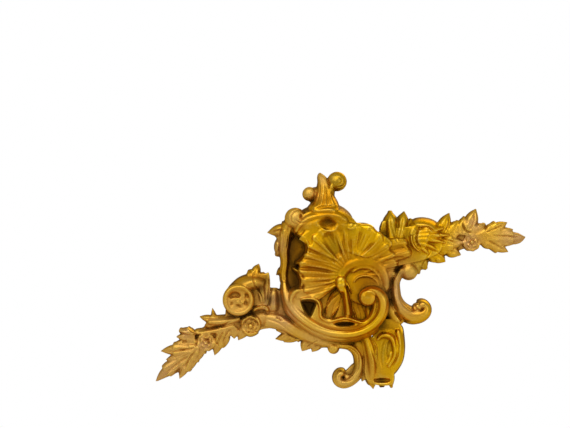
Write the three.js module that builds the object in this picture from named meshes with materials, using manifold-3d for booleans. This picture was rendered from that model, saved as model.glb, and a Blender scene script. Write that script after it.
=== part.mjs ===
import * as THREE from 'three'
import Module from 'manifold-3d'
import { mergeVertices } from 'three/addons/utils/BufferGeometryUtils.js'

// A cast and chased shell ornament, flat behind, made to be pinned to a surface.
// Driving dimensions, in millimetres.
const ornamentWidth = 297.6
const reliefDepth = 38
const edgeThickness = 2.6
const floorThickness = 4.5
const hoodFloor = 25
const scrollFloor = 22
const rootFloor = 17
const gapFloor = 12
const pinHoleDiameter = 1.7

// The carving is drawn on a grid: x and y in steps from the boss of the shell, 372 steps to the
// width, and heights above the flat back in steps of their own, 38 to the depth.
const stepsAcross = 372
const stepsDeep = 38
const step = ornamentWidth / stepsAcross
const rise = reliefDepth / stepsDeep

// Every form starts this far behind the back, which one cut then makes flat.
const sunk = 1

const wasm = await Module()
wasm.setup()

// Turns a closed three.js geometry into a solid.
function solidOf(geometry) {
  const bare = geometry.clone()
  bare.deleteAttribute('normal')
  bare.deleteAttribute('uv')
  const merged = mergeVertices(bare, 1e-4)
  const corners = []
  for (let i = 0; i < merged.index.count; i += 3) {
    const [a, b, c] = merged.index.array.slice(i, i + 3)
    if (a !== b && b !== c && c !== a) corners.push(a, b, c)
  }
  const position = merged.attributes.position.array
  if (volumeOf(position, corners) < 0) corners.reverse()
  return new wasm.Manifold(new wasm.Mesh({
    numProp: 3,
    vertProperties: new Float32Array(position),
    triVerts: new Uint32Array(corners),
  }))
}

// Signed volume of a closed mesh: negative where its faces point inwards.
function volumeOf(position, corners) {
  const [a, b, c] = [new THREE.Vector3(), new THREE.Vector3(), new THREE.Vector3()]
  let volume = 0
  for (let i = 0; i < corners.length; i += 3) {
    a.fromArray(position, corners[i] * 3)
    b.fromArray(position, corners[i + 1] * 3)
    c.fromArray(position, corners[i + 2] * 3)
    volume += a.dot(b.cross(c)) / 6
  }
  return volume
}

// Joins equal rings of points into one closed skin, with a flat cap at each end.
function loft(rings) {
  const size = rings[0].length
  const corners = []
  for (let r = 0; r + 1 < rings.length; r += 1) {
    for (let i = 0; i < size; i += 1) {
      const a = r * size + i
      const b = r * size + (i + 1) % size
      corners.push(a, b, b + size, a, b + size, a + size)
    }
  }
  const first = capOf(rings[0])
  const last = capOf(rings.at(-1)).map((corner) => corner + (rings.length - 1) * size)
  corners.push(...first.reverse(), ...last)
  const geometry = new THREE.BufferGeometry()
  geometry.setAttribute('position', new THREE.Float32BufferAttribute(rings.flat(2), 3))
  geometry.setIndex(corners)
  return solidOf(geometry)
}

// Triangles of a flat ring, laid out in its own plane.
function capOf(ring) {
  const points = ring.map((point) => new THREE.Vector3(...point))
  const normal = new THREE.Vector3()
  points.forEach((point, i) => normal.add(point.clone().cross(points[(i + 1) % points.length])))
  normal.normalize()
  const along = points[1].clone().sub(points[0]).normalize()
  const across = normal.clone().cross(along)
  const contour = points.map((point) => new THREE.Vector2(point.dot(along), point.dot(across)))
  const corners = THREE.ShapeUtils.triangulateShape(contour, []).flat()
  const { isClockWise } = THREE.ShapeUtils
  const sameWay = isClockWise(contour) === isClockWise(corners.slice(0, 3).map((n) => contour[n]))
  return sameWay ? corners : corners.reverse()
}

// Sections across a form: place from side to side (-1 to 1) and share of the height.
const round = [[-1, 0], [-0.66, 0.75], [0, 1], [0.66, 0.75], [1, 0]]
const veined = [[-1, 0], [-0.72, 0.86], [0, 0.78], [0.72, 0.86], [1, 0]]
const ridge = [[-1, 0], [0, 1], [1, 0]]
const spoon = [[-1, 0.5], [-0.72, 1], [0, 0.6], [0.72, 1], [1, 0.5]]
const moulded = [[-1, 0], [-0.76, 0.76], [-0.5, 0.82], [0.12, 1], [0.72, 0.76], [1, 0]]

// A domed section cut into parallel strands, for the scrolls and stems.
function strands(count, groove = 0.2) {
  const section = [[-1, 0]]
  for (let i = 1; i < 2 * count; i += 1) {
    const across = -1 + i / count
    const dome = Math.sqrt(1 - Math.abs(across) ** 2.5)
    section.push([across, dome - (i % 2 === 0 ? groove : 0)])
  }
  return [...section, [1, 0]]
}

// Points between the stations of a path, each a list of numbers, on a smooth curve through them.
function smooth(stations, perSpan) {
  const path = []
  for (let i = 0; i + 1 < stations.length; i += 1) {
    const [a, b, c, d] = [i - 1, i, i + 1, i + 2]
      .map((n) => stations[THREE.MathUtils.clamp(n, 0, stations.length - 1)])
    for (let k = 0; k < perSpan; k += 1) {
      const t = k / perSpan
      path.push(b.map((_, n) => 0.5 * (2 * b[n] + (c[n] - a[n]) * t
        + (2 * a[n] - 5 * b[n] + 4 * c[n] - d[n]) * t ** 2
        + (3 * b[n] - a[n] - 3 * c[n] + d[n]) * t ** 3)))
    }
  }
  return [...path, stations.at(-1)]
}

// Height in millimetres at a share of the way from the thin edge to the crest.
function liftOf(share, height) {
  const crest = height * rise
  const edge = Math.min(edgeThickness, crest * 0.8)
  return edge + (crest - edge) * share
}

// A form that follows a path of [x, y, half width, height] stations.
function ribbon(stations, section = round, perSpan = 2) {
  const path = smooth(stations, perSpan)
  const rings = path.map(([x, y, half, height], i) => {
    const [ax, ay] = path[Math.max(i - 1, 0)]
    const [bx, by] = path[Math.min(i + 1, path.length - 1)]
    const run = Math.hypot(bx - ax, by - ay)
    const place = (across, lift) => [
      (x + across * half * (by - ay) / run) * step,
      (y - across * half * (bx - ax) / run) * step,
      lift,
    ]
    const top = section.map(([across, share]) => place(across, liftOf(share, height)))
    return [place(-1, -sunk), ...top, place(1, -sunk)]
  })
  return loft(rings)
}

// A lobe of leaf from its root to its tip, widest at the belly, with a bent midrib. A blunt tip
// keeps its width for longer than a sharp one.
const sharpTaper = 1.5
const bluntTaper = 1.2
function leaf(from, to, half, heights, options = {}) {
  const { bend = 0, belly = 0.4, root = 0.75, tip = 0.12, section = veined } = options
  const [dx, dy] = [to[0] - from[0], to[1] - from[1]]
  const places = section === ridge ? [0, 0.5, 1] : [0, 0.45, 0.8, 1]
  const stations = places.map((t) => {
    const side = 4 * bend * t * (1 - t)
    const swell = t < belly
      ? root + (1 - root) * Math.sin(Math.PI / 2 * t / belly)
      : Math.max(tip, 1 - ((t - belly) / (1 - belly)) ** (sharpTaper + bluntTaper * tip))
    const height = t < belly
      ? THREE.MathUtils.lerp(heights[0], heights[1], t / belly)
      : THREE.MathUtils.lerp(heights[1], heights[2], (t - belly) / (1 - belly))
    return [from[0] + dx * t - dy * side, from[1] + dy * t + dx * side, half * swell, height]
  })
  return ribbon(stations, section, 1)
}

// A turned form about its own centre, from a profile of [radius, height] in steps.
function turned([x, y], profile, sides = 14) {
  const points = profile.map(([radius, height]) => (
    new THREE.Vector2(radius * step, height * rise)
  ))
  const first = new THREE.Vector2(0, -sunk)
  const foot = new THREE.Vector2(profile[0][0] * step, -sunk)
  const geometry = new THREE.LatheGeometry([first, foot, ...points], sides)
  geometry.rotateX(Math.PI / 2)
  geometry.translate(x * step, y * step, 0)
  return solidOf(geometry)
}

// A round knob, rounded over its top.
function knob(centre, radius, height, sides = 8) {
  const shoulder = Math.max(height - radius * 0.8, height * 0.35)
  const profile = [0, 40, 90].map((angle) => {
    const turn = THREE.MathUtils.degToRad(angle)
    return [radius * Math.cos(turn), shoulder + (height - shoulder) * Math.sin(turn)]
  })
  profile.at(-1)[0] = 0
  return turned(centre, profile, sides)
}

// A ring of cupped petals about a sunk middle with a small heart. The levels run from the foot
// to the heart: [reach, height, how far the valleys between petals drop].
const pointsPerPetal = 4
const petalNotch = 0.12
function blossom([x, y], radius, petals, height, turn, heart) {
  const levels = [
    [1, -sunk / rise, 0], [1, height * 0.6, 0.2], [0.84, height, 0.4], [0.5, height * 0.7, 0.15],
    [0.22, heart * 0.9, 0], [0.06, heart, 0],
  ]
  const rings = levels.map(([reach, lift, drop]) => {
    const ring = []
    for (let i = 0; i < petals * pointsPerPetal; i += 1) {
      const angle = THREE.MathUtils.degToRad(turn + 360 * i / (petals * pointsPerPetal))
      const valley = Math.abs(Math.cos(Math.PI * i / pointsPerPetal)) ** 2
      const out = radius * reach * (1 - petalNotch * valley * reach)
      ring.push([
        (x + out * Math.cos(angle)) * step,
        (y + out * Math.sin(angle)) * step,
        lift * (1 - drop * valley) * rise,
      ])
    }
    return ring
  })
  return loft(rings)
}

// The fan of the shell: flutes between grooves about the boss, rising outwards to a lip.
// Each flute is [angle where it starts, reach of its lobe, height of its lip].
const flutes = [
  [-6, 43, 15], [8, 46, 18], [21, 50, 22], [33, 48, 25], [47, 49, 27], [61, 53, 28], [79, 54.6, 28],
  [97, 51, 28], [105, 53, 28], [118, 57, 29], [130, 59, 30], [141, 55, 30], [151, 52, 29],
  [161, 54, 28], [171, 56.5, 28], [181, 52, 27], [192, 52, 26], [203, 53, 24], [216, 46, 22],
]
const shellCentre = [7, 10]
const hubRadius = 12
const hubHeight = 20
const fluteSwell = 3.2
const notchDepth = 1.6
const lipDrop = 5
function fan() {
  const columns = []
  for (let i = 0; i + 1 < flutes.length; i += 1) {
    const [start, reach, lip] = flutes[i]
    const [end, nextReach, nextLip] = flutes[i + 1]
    for (const t of [0, 0.33, 0.67]) {
      const swell = Math.sin(Math.PI * t)
      columns.push([
        start + (end - start) * t,
        THREE.MathUtils.lerp(reach, nextReach, t) - notchDepth * (1 - swell),
        THREE.MathUtils.lerp(lip, nextLip, t),
        swell,
      ])
    }
  }
  columns.push([...flutes.at(-1), 0])
  const rings = columns.map(([angle, reach, lip, swell]) => {
    const turn = THREE.MathUtils.degToRad(angle)
    const place = (radius, lift) => [
      (shellCentre[0] + radius * Math.cos(turn)) * step,
      (shellCentre[1] + radius * Math.sin(turn)) * step,
      lift,
    ]
    const top = [0, 0.45, 0.9, 1].map((u) => {
      const dish = THREE.MathUtils.lerp(hubHeight, lip, u ** 1.4)
      const flute = fluteSwell * swell * Math.sin(Math.PI * Math.min(0.15 + u * 0.8, 0.9))
      const rolled = u === 1 ? -lipDrop : 0
      return place(THREE.MathUtils.lerp(hubRadius, reach, u), (dish + flute + rolled) * rise)
    })
    return [place(hubRadius, -sunk), ...top, place(reach, -sunk)]
  })
  return loft(rings)
}

// The flat ground that closes the pockets behind the carving.
function ground(outline, thickness) {
  const shape = new THREE.Shape()
  shape.setFromPoints(
    new THREE.CatmullRomCurve3(outline.map(([x, y]) => new THREE.Vector3(x, y, 0)), true)
      .getPoints(outline.length * 2)
      .slice(0, -1)
      .map(({ x, y }) => new THREE.Vector2(x * step, y * step)),
  )
  const plate = new THREE.ExtrudeGeometry(shape, { depth: thickness + sunk, bevelEnabled: false })
  plate.translate(0, 0, -sunk)
  return solidOf(plate)
}

// Crest: a stem between two knobs, over a hood.
function crest() {
  return [
    ribbon([[-22, 66, 20, 30], [-21, 74, 18.6, 28], [-20.4, 81, 14.6, 24], [-20.6, 88, 11, 21],
      [-20.8, 95, 8.4, 19], [-22, 103, 6, 16], [-24.4, 109, 3.6, 12], [-25.2, 112.4, 1, 8]], round, 1),
    knob([-8, 103.5], 9.8, 19, 12),
    knob([-35.5, 91], 7.1, 18, 12),
    ribbon([[-37.6, 88, 7, 15], [-30, 90, 8, 17], [-20, 90.4, 9, 18]], round, 1),
    ribbon([[-50, 50, 5, 26], [-46, 59, 8, 27.6], [-37, 66, 11, 29.4], [-24, 70, 12, 30],
      [-11, 69.6, 12, 30], [-2, 65.6, 10, 29.4], [5, 60, 7, 28]], round, 1),
    knob([5.4, 58.5], 4.6, 28.6),
    knob([-49.7, 66.6], 10.7, 27, 12),
  ]
}

// The sheet under the hood, the curled lips of the shell beside the cavity, and its rim.
function hood() {
  return [
    ribbon([[-46, 53, 6, 26], [-34, 58, 10, 28.6], [-18, 60, 12, 29], [-4, 58, 10, 28.6],
      [8, 54, 7, 27.6]], round, 1),
    ribbon([[-50, 52, 3, 24], [-44, 47, 7, 27.6], [-41, 38, 7.8, 28.6], [-43.6, 29, 6.6, 27.4],
      [-50, 22, 3, 24]], spoon, 1),
    ribbon([[-53, 18, 2.4, 22], [-48, 11, 6, 25], [-46.4, 3, 6.6, 25.6], [-49, -6, 4, 24]], spoon, 1),
    ground([[-57, 50], [-48, 55], [-34, 50], [-34, 24], [-40, 20], [-38, 10], [-38, -8], [-54, -8],
      [-58, 20]], 15 * rise),
    ribbon([[0, 57, 4, 25], [12, 57.2, 5, 25], [22, 56.6, 5, 25], [30, 51, 4, 24]], ridge, 1),
  ]
}

// Left side of the frame: two leaves and a band beside a deep cavity.
function leftFrame() {
  return [
    ribbon([[-53, 64, 8, 22], [-59, 52, 7.4, 20], [-60.8, 38, 6.2, 18], [-60, 23, 4.8, 16],
      [-61.4, 11, 4.6, 15], [-60.6, 1, 4.4, 15]], strands(2), 1),
    leaf([-50, 59], [-77.7, 52.4], 7.6, [20, 16, 7], { bend: 0.02, belly: 0.5, section: ridge }),
    leaf([-55, 53], [-67.2, 28.2], 8.4, [18, 16, 9], { bend: -0.09, belly: 0.45, tip: 0.4 }),
    leaf([-60, 17], [-69, 9.6], 4.1, [13, 11, 6], { section: ridge }),
  ]
}

// Boss of the shell: a ring with two inner arcs about a cavity.
function boss() {
  return [
    turned([20, 2], [[24, 14], [21, 19], [12, 20.6], [0, 20.4]], 12),
    ribbon([[-4, -1, 6, 22], [-5, 6, 8, 22.8], [-2, 14, 10, 23.4], [5, 20.6, 11, 23.8],
      [16, 23.4, 11.6, 23.8], [27, 22.4, 11, 23.6], [35, 17, 10, 23], [39, 9, 9, 22], [40, 0, 8, 20.6],
      [37.4, -8, 7, 19.6]], round, 1),
    ribbon([[5, 12, 3.4, 22], [15, 17.5, 4.6, 23.4], [25, 16.4, 4.6, 23.2], [32, 10.6, 4, 22.4],
      [35, 3, 3, 21]], ridge, 1),
    knob([-4, 1], 6.6, 26.4),
  ]
}

// The large scroll that carries the shell and curls up at its right end.
function largeScroll() {
  return [
    ribbon([[-60.5, 6, 3.5, 15], [-59.5, -5, 6, 19], [-55.5, -16.4, 8.2, 22], [-49, -25.6, 8.8, 24],
      [-40.5, -33.2, 8.4, 26], [-31, -39.6, 7.8, 27], [-19, -45, 7.4, 28], [-4, -47.8, 6.8, 29],
      [10, -46.8, 6.8, 30], [22, -42, 7.2, 31], [31, -34, 7.8, 33], [36, -24, 8.2, 34],
      [36, -14, 7.6, 35], [31, -6.6, 6.2, 35.4], [23.6, -4.4, 5, 35], [17.6, -7, 4, 34],
      [16.4, -12, 3.6, 33]], moulded, 1),
    ribbon([[-49, -25.6, 13.2, 21.1], [-40.5, -33.2, 12.8, 22.9], [-31, -39.6, 12.2, 23.8],
      [-19, -45, 11.8, 24.6], [-4, -47.8, 11.2, 25.5], [10, -46.8, 11.2, 26.4],
      [22, -42, 11.6, 27.3], [31, -34, 12.2, 29]], round, 1),
    knob([21.4, -12], 6.8, 37),
    ribbon([[28, -9, 3.6, 30], [29.6, -17, 5.4, 30], [28, -26, 5.4, 29], [23.6, -33, 4.4, 27],
      [16, -37.4, 3, 25]], round, 1),
    ribbon([[-41, -5, 3.6, 23], [-49, -6, 6, 25], [-54, -14, 6, 24], [-52, -24, 4, 23]], round, 1),
    ribbon([[-61, -10, 3, 17], [-57.6, -24, 4.4, 18], [-47, -36, 4.4, 19], [-33, -45.6, 4, 20],
      [-16, -52.6, 3.4, 20], [2, -55, 2.6, 18]], ridge, 1),
  ]
}

// The bowl between the boss and the large scroll.
function bowl() {
  return [
    ribbon([[-46, -14, 2.7, 25], [-36, -12.6, 3.2, 26], [-28, -15, 3.6, 26], [-25, -22, 3.6, 25],
      [-24.5, -31, 3.4, 24], [-17, -36, 3.2, 23], [-8, -34, 3, 24], [1, -32.4, 3, 25],
      [10, -35, 3, 25], [19, -37, 2.8, 26], [27, -32, 2.6, 27], [30, -22, 2.4, 28]], ridge, 1),
    ground([[-31, -7], [-9, -1], [15, -3], [31, -13], [30, -31], [11, -36], [-9, -35], [-24, -31]],
      17 * rise),
    leaf([-6, -4], [-18, -34], 7.6, [23, 19, 20], { root: 0.3, tip: 0.6, section: spoon }),
    ribbon([[-1, -2, 6, 25], [1, -12, 6.6, 25], [2.4, -22, 7.4, 23.6], [3, -32, 9, 22]], round, 1),
    leaf([11, -6], [17, -36], 9, [21, 18, 20], { root: 0.4, tip: 0.8, section: spoon }),
    leaf([24, -14], [23, -36], 6, [21, 20, 22], { root: 0.4, tip: 0.8, section: ridge }),
  ]
}

// A frond that springs from the left stem and lies under the large scroll.
function frond() {
  return [
    ground([[-63, -15], [-51, -31], [-35, -43], [-13, -50], [15, -47], [11, -58], [-9, -61],
      [-25, -58], [-39, -53], [-53, -47], [-67, -41]], 9 * rise),
    ribbon([[-85, -35, 8.8, 13], [-73, -35, 9, 15], [-61, -39, 8.2, 16], [-49, -45.6, 7.2, 17],
      [-35, -52.4, 6.2, 16], [-20, -57, 5.4, 15], [-3, -59.4, 4.6, 14]], strands(2), 1),
    leaf([-48, -44], [-68.8, -46], 5.6, [14, 12, 8], { tip: 0.15, section: ridge }),
    leaf([-46, -46], [-69.6, -54.4], 6.6, [13, 11, 7], { bend: 0.04, tip: 0.1, section: ridge }),
    leaf([-41, -49], [-61, -57.6], 5.4, [12, 10, 7], { tip: 0.1, section: ridge }),
    leaf([-33, -50], [-43, -66.6], 6.8, [12, 11, 7], { belly: 0.55, tip: 0.1, section: ridge }),
    leaf([-30, -53], [-35.6, -64.6], 4.6, [13, 12, 7], { tip: 0.15, section: ridge }),
    leaf([-22, -52], [-33, -67.4], 6.6, [12, 11, 7], { belly: 0.5, tip: 0.1, section: ridge }),
    leaf([-11, -56], [-20, -62.4], 5, [13, 12, 8], { tip: 0.3, section: ridge }),
  ]
}

// The small scroll below, to the left.
function lowerScroll() {
  return [
    knob([-11.5, -63], 5.9, 16),
    ribbon([[-12, -60, 3.5, 13], [-4, -60, 4.3, 15], [5, -61.3, 4.9, 16], [11.5, -66.5, 5.5, 17],
      [14.6, -74, 6, 17], [14.6, -83, 6.2, 17], [11, -91, 6, 17], [4.6, -96.6, 5.8, 17],
      [-1.4, -98.6, 5.6, 16], [-6, -96.6, 5.6, 15.6], [-7.4, -92.4, 5.4, 15], [-5, -88.4, 5.2, 15],
      [0.6, -87.4, 4.4, 15]], moulded, 1),
    ground([[-7, -89], [1, -86], [9, -79], [13, -87], [7, -97], [-3, -98]], 9 * rise),
    ribbon([[11, -53, 7.5, 15], [15, -63, 6.5, 15], [18, -75, 5.5, 14]], round, 1),
  ]
}

// The hanging leaf below, to the right, with a hollow between two ridges.
function bottomLeaf() {
  return [
    ground([[15, -49], [33, -45], [53, -47], [58.6, -60], [56.6, -77], [49, -87], [47, -99], [29, -99],
      [20, -91], [19, -71]], 14 * rise),
    ribbon([[18, -46, 8, 18], [23.4, -59, 9, 20], [26, -71, 9.4, 20], [27, -83, 9, 19],
      [26.6, -94, 7, 16], [25.6, -101, 3.6, 10]], round, 1),
    ribbon([[30, -47, 8, 17.6], [38, -58, 10, 18], [39.6, -70, 10.4, 17.6], [37, -84, 9, 16.4]], spoon, 1),
    ribbon([[31, -55, 4, 17], [37.5, -49, 5.4, 19], [46, -51, 5.6, 20], [49.8, -60, 5.4, 19.4],
      [50, -69, 5, 19], [46.4, -76, 5, 18.4], [41, -84, 5.6, 17]], round, 1),
    ribbon([[51, -41, 7.6, 17], [53.4, -51, 6.6, 19], [54, -63, 6.8, 19.4], [52.4, -74, 6.8, 18.4],
      [48, -82.4, 6.6, 16.6], [43, -89, 6, 15]], round, 1),
    leaf([26, -86], [28.4, -104.4], 6, [15, 13, 8], { tip: 0.15, section: ridge }),
    leaf([36, -84], [37.4, -103], 7, [13, 12, 8], { tip: 0.4, section: spoon }),
    leaf([43, -84], [47, -103.4], 5.4, [14, 12, 8], { tip: 0.3, section: ridge }),
  ]
}

// The scroll to the right of the shell.
function rightScroll() {
  return [
    knob([63.5, 13.8], 9.1, 19, 12),
    ribbon([[59, 18, 5, 17], [54, 11, 5, 18], [50.4, 3, 5.2, 18], [50.2, -5, 5.6, 18],
      [51.4, -14, 6.2, 19], [56, -23.5, 8, 20], [64.6, -30, 9.2, 20], [73, -30.4, 8.8, 20],
      [79, -27.6, 7.6, 19.6], [80.6, -23, 6.4, 19], [77.6, -19.4, 5.8, 19], [72, -18.8, 4.8, 18]],
      round, 1),
    knob([72, -22.5], 4.4, 20),
    ground([[28, -44], [38, -34], [50, -36], [57, -42], [55, -51], [30, -50]], 15 * rise),
    ribbon([[36, -17, 7, 17], [44, -24, 8, 17], [51, -32, 8.5, 17], [57, -39, 7.5, 17]], round, 1),
    leaf([55, -21], [44.5, -26.5], 4.1, [16, 15, 10], { section: ridge }),
    ribbon([[47, 26, 6, 20], [46, 12, 5, 14], [44, -4, 5, 12], [43, -16, 6, 14]], round, 1),
  ]
}

// The horn on the left arm: a roundel with a flower in its mouth, and leaves behind.
function horn() {
  return [
    turned([-106.4, -14.6], [[15.9, 14], [15.7, 19], [15, 21.4], [13.4, 22.6], [12, 22.2], [10.8, 21],
      [9, 20.4], [0, 20.8]], 12),
    ribbon([[-112, -11, 9.4, 15], [-106.6, -6, 10.4, 18], [-100.6, -1, 10.4, 20.4],
      [-93.4, 2, 9.6, 21], [-86, 2.2, 9.2, 19.4], [-79.4, 1, 8.6, 16.6]], round, 1),
    leaf([-93, 4], [-86.2, 21], 6.4, [20.6, 17, 8], { root: 0.9, tip: 0.1, section: ridge }),
    ground([[-92, 11], [-80, 11.4], [-76, 11.4], [-75, -4], [-79, -22], [-94, -18]], 14 * rise),
    ribbon([[-84, 6, 7, 16], [-83, -8, 8, 16.6], [-82, -22, 8, 15]], round, 1),
    ribbon([[-71.4, -3, 6.1, 12], [-71.6, -15, 8.5, 13], [-72.4, -29, 9.5, 14]], round, 1),
    ribbon([[-93, -27, 3.4, 16], [-88, -22.6, 4.4, 18], [-80, -22, 4.4, 17.6], [-76, -27, 3.4, 15.6]],
      ridge, 1),
    knob([-94.4, -41.4], 10.2, 16.4, 12),
    ribbon([[-103, -41, 3, 15.4], [-101, -34.6, 3.8, 17.4], [-94, -31.6, 4.2, 18], [-87, -35, 4, 17],
      [-85, -42, 3, 15.4]], ridge, 1),
    leaf([-99, -41], [-106.8, -55.6], 6, [15, 13, 7], { tip: 0.15, section: ridge }),
    ribbon([[-75, -31, 11.5, 14], [-91, -34, 12.5, 13], [-105, -36, 11.5, 13]], round, 1),
    ground([[-119, -17], [-111, 1], [-93, 11], [-78, 9], [-74.5, -5], [-65, -6], [-58, -21],
      [-49, -37], [-67, -42], [-87, -45], [-107, -49], [-119, -41]], 9 * rise),
  ]
}

// The left arm: a stem with a blossom, its leaves turned over on both sides.
function leftArm() {
  return [
    ribbon([[-103, -37, 11.5, 12], [-119, -41, 11, 11], [-133, -49, 10.5, 10], [-145, -58.4, 10.6, 9],
      [-156, -69, 9.6, 8], [-167, -80, 7, 7], [-179, -88.6, 4.2, 6], [-189.4, -96.6, 0.8, 4.5]], round,
      1),
    leaf([-131, -34], [-133, -23.4], 2.8, [12, 11, 6], { belly: 0.2, tip: 0.1, section: ridge }),
    ribbon([[-104, -33, 5, 14], [-116, -36, 6.6, 15.4], [-128, -37, 6.6, 15], [-138, -37, 5, 13]],
      round, 1),
    leaf([-127, -36.6], [-145.6, -32], 5.2, [14.6, 13, 8], { root: 1, section: ridge }),
    ribbon([[-108, -40, 5, 14], [-122, -44, 5.6, 14], [-136, -47, 5, 13], [-151, -47.6, 3.4, 12]],
      round, 1),
    leaf([-151, -49], [-166.2, -45.4], 4.8, [12, 13.4, 11], { tip: 0.6, section: ridge }),
    leaf([-153, -50], [-158.4, -43], 4.4, [12, 13.4, 11], { tip: 0.7, section: ridge }),
    leaf([-150, -53], [-168.8, -52], 6, [12, 12.4, 9], { tip: 0.15, section: ridge }),
    leaf([-146, -59], [-172, -59], 7, [12.4, 12, 8], { tip: 0.15, section: ridge }),
    leaf([-146, -65], [-184.6, -66.6], 8.2, [15, 13, 6], { bend: -0.02, belly: 0.5, tip: 0.05 }),
    leaf([-156, -71], [-179.4, -75], 6, [12, 11, 7], { belly: 0.45, tip: 0.1, section: ridge }),
    leaf([-156, -72], [-189.6, -96.8], 7.6, [12.6, 11, 5], { bend: -0.05, belly: 0.5, tip: 0.08,
      section: ridge }),
    leaf([-150, -66], [-165.8, -94.4], 7.4, [14, 12.6, 6], { bend: -0.03, belly: 0.5, tip: 0.05,
      section: ridge }),
    leaf([-142, -60], [-148.8, -77.4], 5.6, [13.6, 12.6, 7], { tip: 0.1, section: ridge }),
    leaf([-122, -43], [-130.6, -70.8], 7.4, [15.4, 13.6, 6], { belly: 0.5, tip: 0.08, section: ridge }),
    leaf([-118, -42], [-120, -62.4], 5, [14, 12.6, 7], { belly: 0.5, tip: 0.08, section: ridge }),
    blossom([-139, -57], 9.6, 5, 16.6, 20, 13),
  ]
}

// The right arm: a stem of overlapping leaves with a rose at its root and a bud along it.
function rightArm() {
  return [
    ribbon([[39, 37, 17.5, 16], [55, 39, 19.5, 14], [71, 42, 19.5, 13], [91, 44, 17.5, 12],
      [111, 47.6, 14, 10], [129, 50, 10.5, 9], [145, 48.4, 8, 8], [161, 47, 7, 7], [174, 46.6, 5.5, 6],
      [181, 47.6, 0.8, 4]], round, 1),
    leaf([47, 42], [45.4, 74.6], 8.4, [20, 17.6, 9], { belly: 0.6, root: 0.95, tip: 0.3, section: round }),
    leaf([54, 44], [59.6, 73.6], 8.6, [20, 17.4, 9], { belly: 0.55, root: 0.8, tip: 0.15, section: round }),
    ribbon([[30, 36, 7, 25], [43, 40, 9, 24], [55, 42, 8, 22], [65, 42, 5, 20]], strands(3), 1),
    ribbon([[32, 27, 6, 24], [46, 30, 8, 23.4], [58, 32, 8, 22], [68, 35, 6, 20]], strands(3), 1),
    leaf([93, 46], [104.8, 72], 8, [17.4, 15, 8], { belly: 0.5, tip: 0.1 }),
    leaf([87, 50], [93, 63], 6, [17, 14, 9], { tip: 0.15, section: ridge }),
    leaf([104, 47], [113.6, 64.6], 9, [15.4, 14, 9], { tip: 0.2 }),
    leaf([84, 41], [119, 43], 10.6, [19.4, 17, 11.6], { belly: 0.5, tip: 0.25 }),
    leaf([123, 49], [131.6, 76.2], 8.6, [14.4, 13, 7], { bend: 0.03, belly: 0.5, tip: 0.06 }),
    leaf([117, 50], [119.6, 69], 7, [14, 13, 8], { tip: 0.15, section: ridge }),
    leaf([128, 50], [140.6, 61.6], 6.6, [13, 12, 8], { tip: 0.3, section: ridge }),
    leaf([134, 48], [163, 62.6], 7, [13.4, 11.6, 6], { belly: 0.6, tip: 0.1, section: ridge }),
    leaf([142, 48], [181.6, 47.8], 7.8, [13, 11, 4], { belly: 0.5, tip: 0.05 }),
    leaf([136, 46], [164, 33], 6.2, [13, 11, 6], { belly: 0.6, tip: 0.1, section: ridge }),
    knob([125.6, 42], 8.6, 14.6, 12),
    ribbon([[115.6, 42, 4, 14], [118, 48.4, 5, 15.6], [126, 51, 5, 16], [133, 47.6, 4.6, 15.4],
      [136, 41, 3.6, 14]], ridge, 1),
    leaf([92, 40], [116, 30], 7.6, [16.6, 14, 9], { belly: 0.6, tip: 0.2, section: ridge }),
    leaf([82, 36], [100.8, 23], 7.6, [17.6, 15, 8], { belly: 0.6, tip: 0.1, section: ridge }),
    leaf([67, 34], [82, 15.6], 9, [18.6, 15, 8], { belly: 0.6, tip: 0.25 }),
    leaf([61, 31], [74.8, 11], 9, [19.6, 16, 9], { belly: 0.6, tip: 0.2 }),
  ]
}

// The rose: broad outer petals, and ruffled ones about the middle.
function rose() {
  return [
    ribbon([[74, 61, 8, 17], [68.6, 56, 10, 18.6], [66.4, 48, 10.4, 19.4], [69, 39, 9.6, 19],
      [77, 33, 7, 17.6]], round, 1),
    ribbon([[66, 60, 6, 17], [77, 59.4, 8.6, 19.4], [87, 56, 9, 20], [92, 49, 7, 18.4]], round, 1),
    turned([82, 46], [[15, 12], [14, 17.4], [10, 19.4], [0, 20]], 12),
    leaf([76, 48], [97, 50], 9, [20, 20.4, 17], { tip: 0.7, section: round }),
    ribbon([[70, 36, 3, 18], [76, 30.6, 3.4, 19], [86, 29.4, 3.4, 19], [95, 33, 3, 17]], ridge, 1),
  ]
}

const solids = [
  ground([[-61, 59], [-45, 71], [-20, 77], [1, 69], [17, 59], [35, 47], [55, 29], [53, 3],
    [55, -45], [31, -53], [-3, -53], [-33, -44], [-55, -25], [-63, 1], [-64, 35]], floorThickness),
  ground([[-50, 54], [-47, 66], [-34, 74], [-10, 76], [6, 68], [14, 60], [34, 52], [46, 40],
    [20, 28], [-8, 40], [-30, 46]], hoodFloor),
  ground([[-47, -8], [-36, -11], [-27, -14], [-24, -30], [-10, -34], [10, -35], [24, -33],
    [32, -24], [38, -32], [20, -47], [-6, -52], [-34, -43], [-50, -28], [-56, -14]], scrollFloor)
    .subtract(ground([[-44, -14], [-30, -15], [-34, -30]], 2 * reliefDepth)),
  ground([[34, 24], [38, 42], [60, 58], [90, 57], [96, 36], [80, 26], [60, 21], [44, 18]], rootFloor),
  ground([[26, 46], [34, 52], [38, 64], [48, 60], [44, 40]], gapFloor),
  ground([[42, 8], [44, 22], [60, 26], [64, 18], [56, 8], [50, 0]], gapFloor),
  fan(),
  ...crest(), ...hood(), ...leftFrame(), ...boss(), ...largeScroll(), ...bowl(), ...frond(),
  ...lowerScroll(), ...bottomLeaf(), ...rightScroll(), ...horn(), ...leftArm(), ...rightArm(),
  ...rose(),
]

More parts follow.
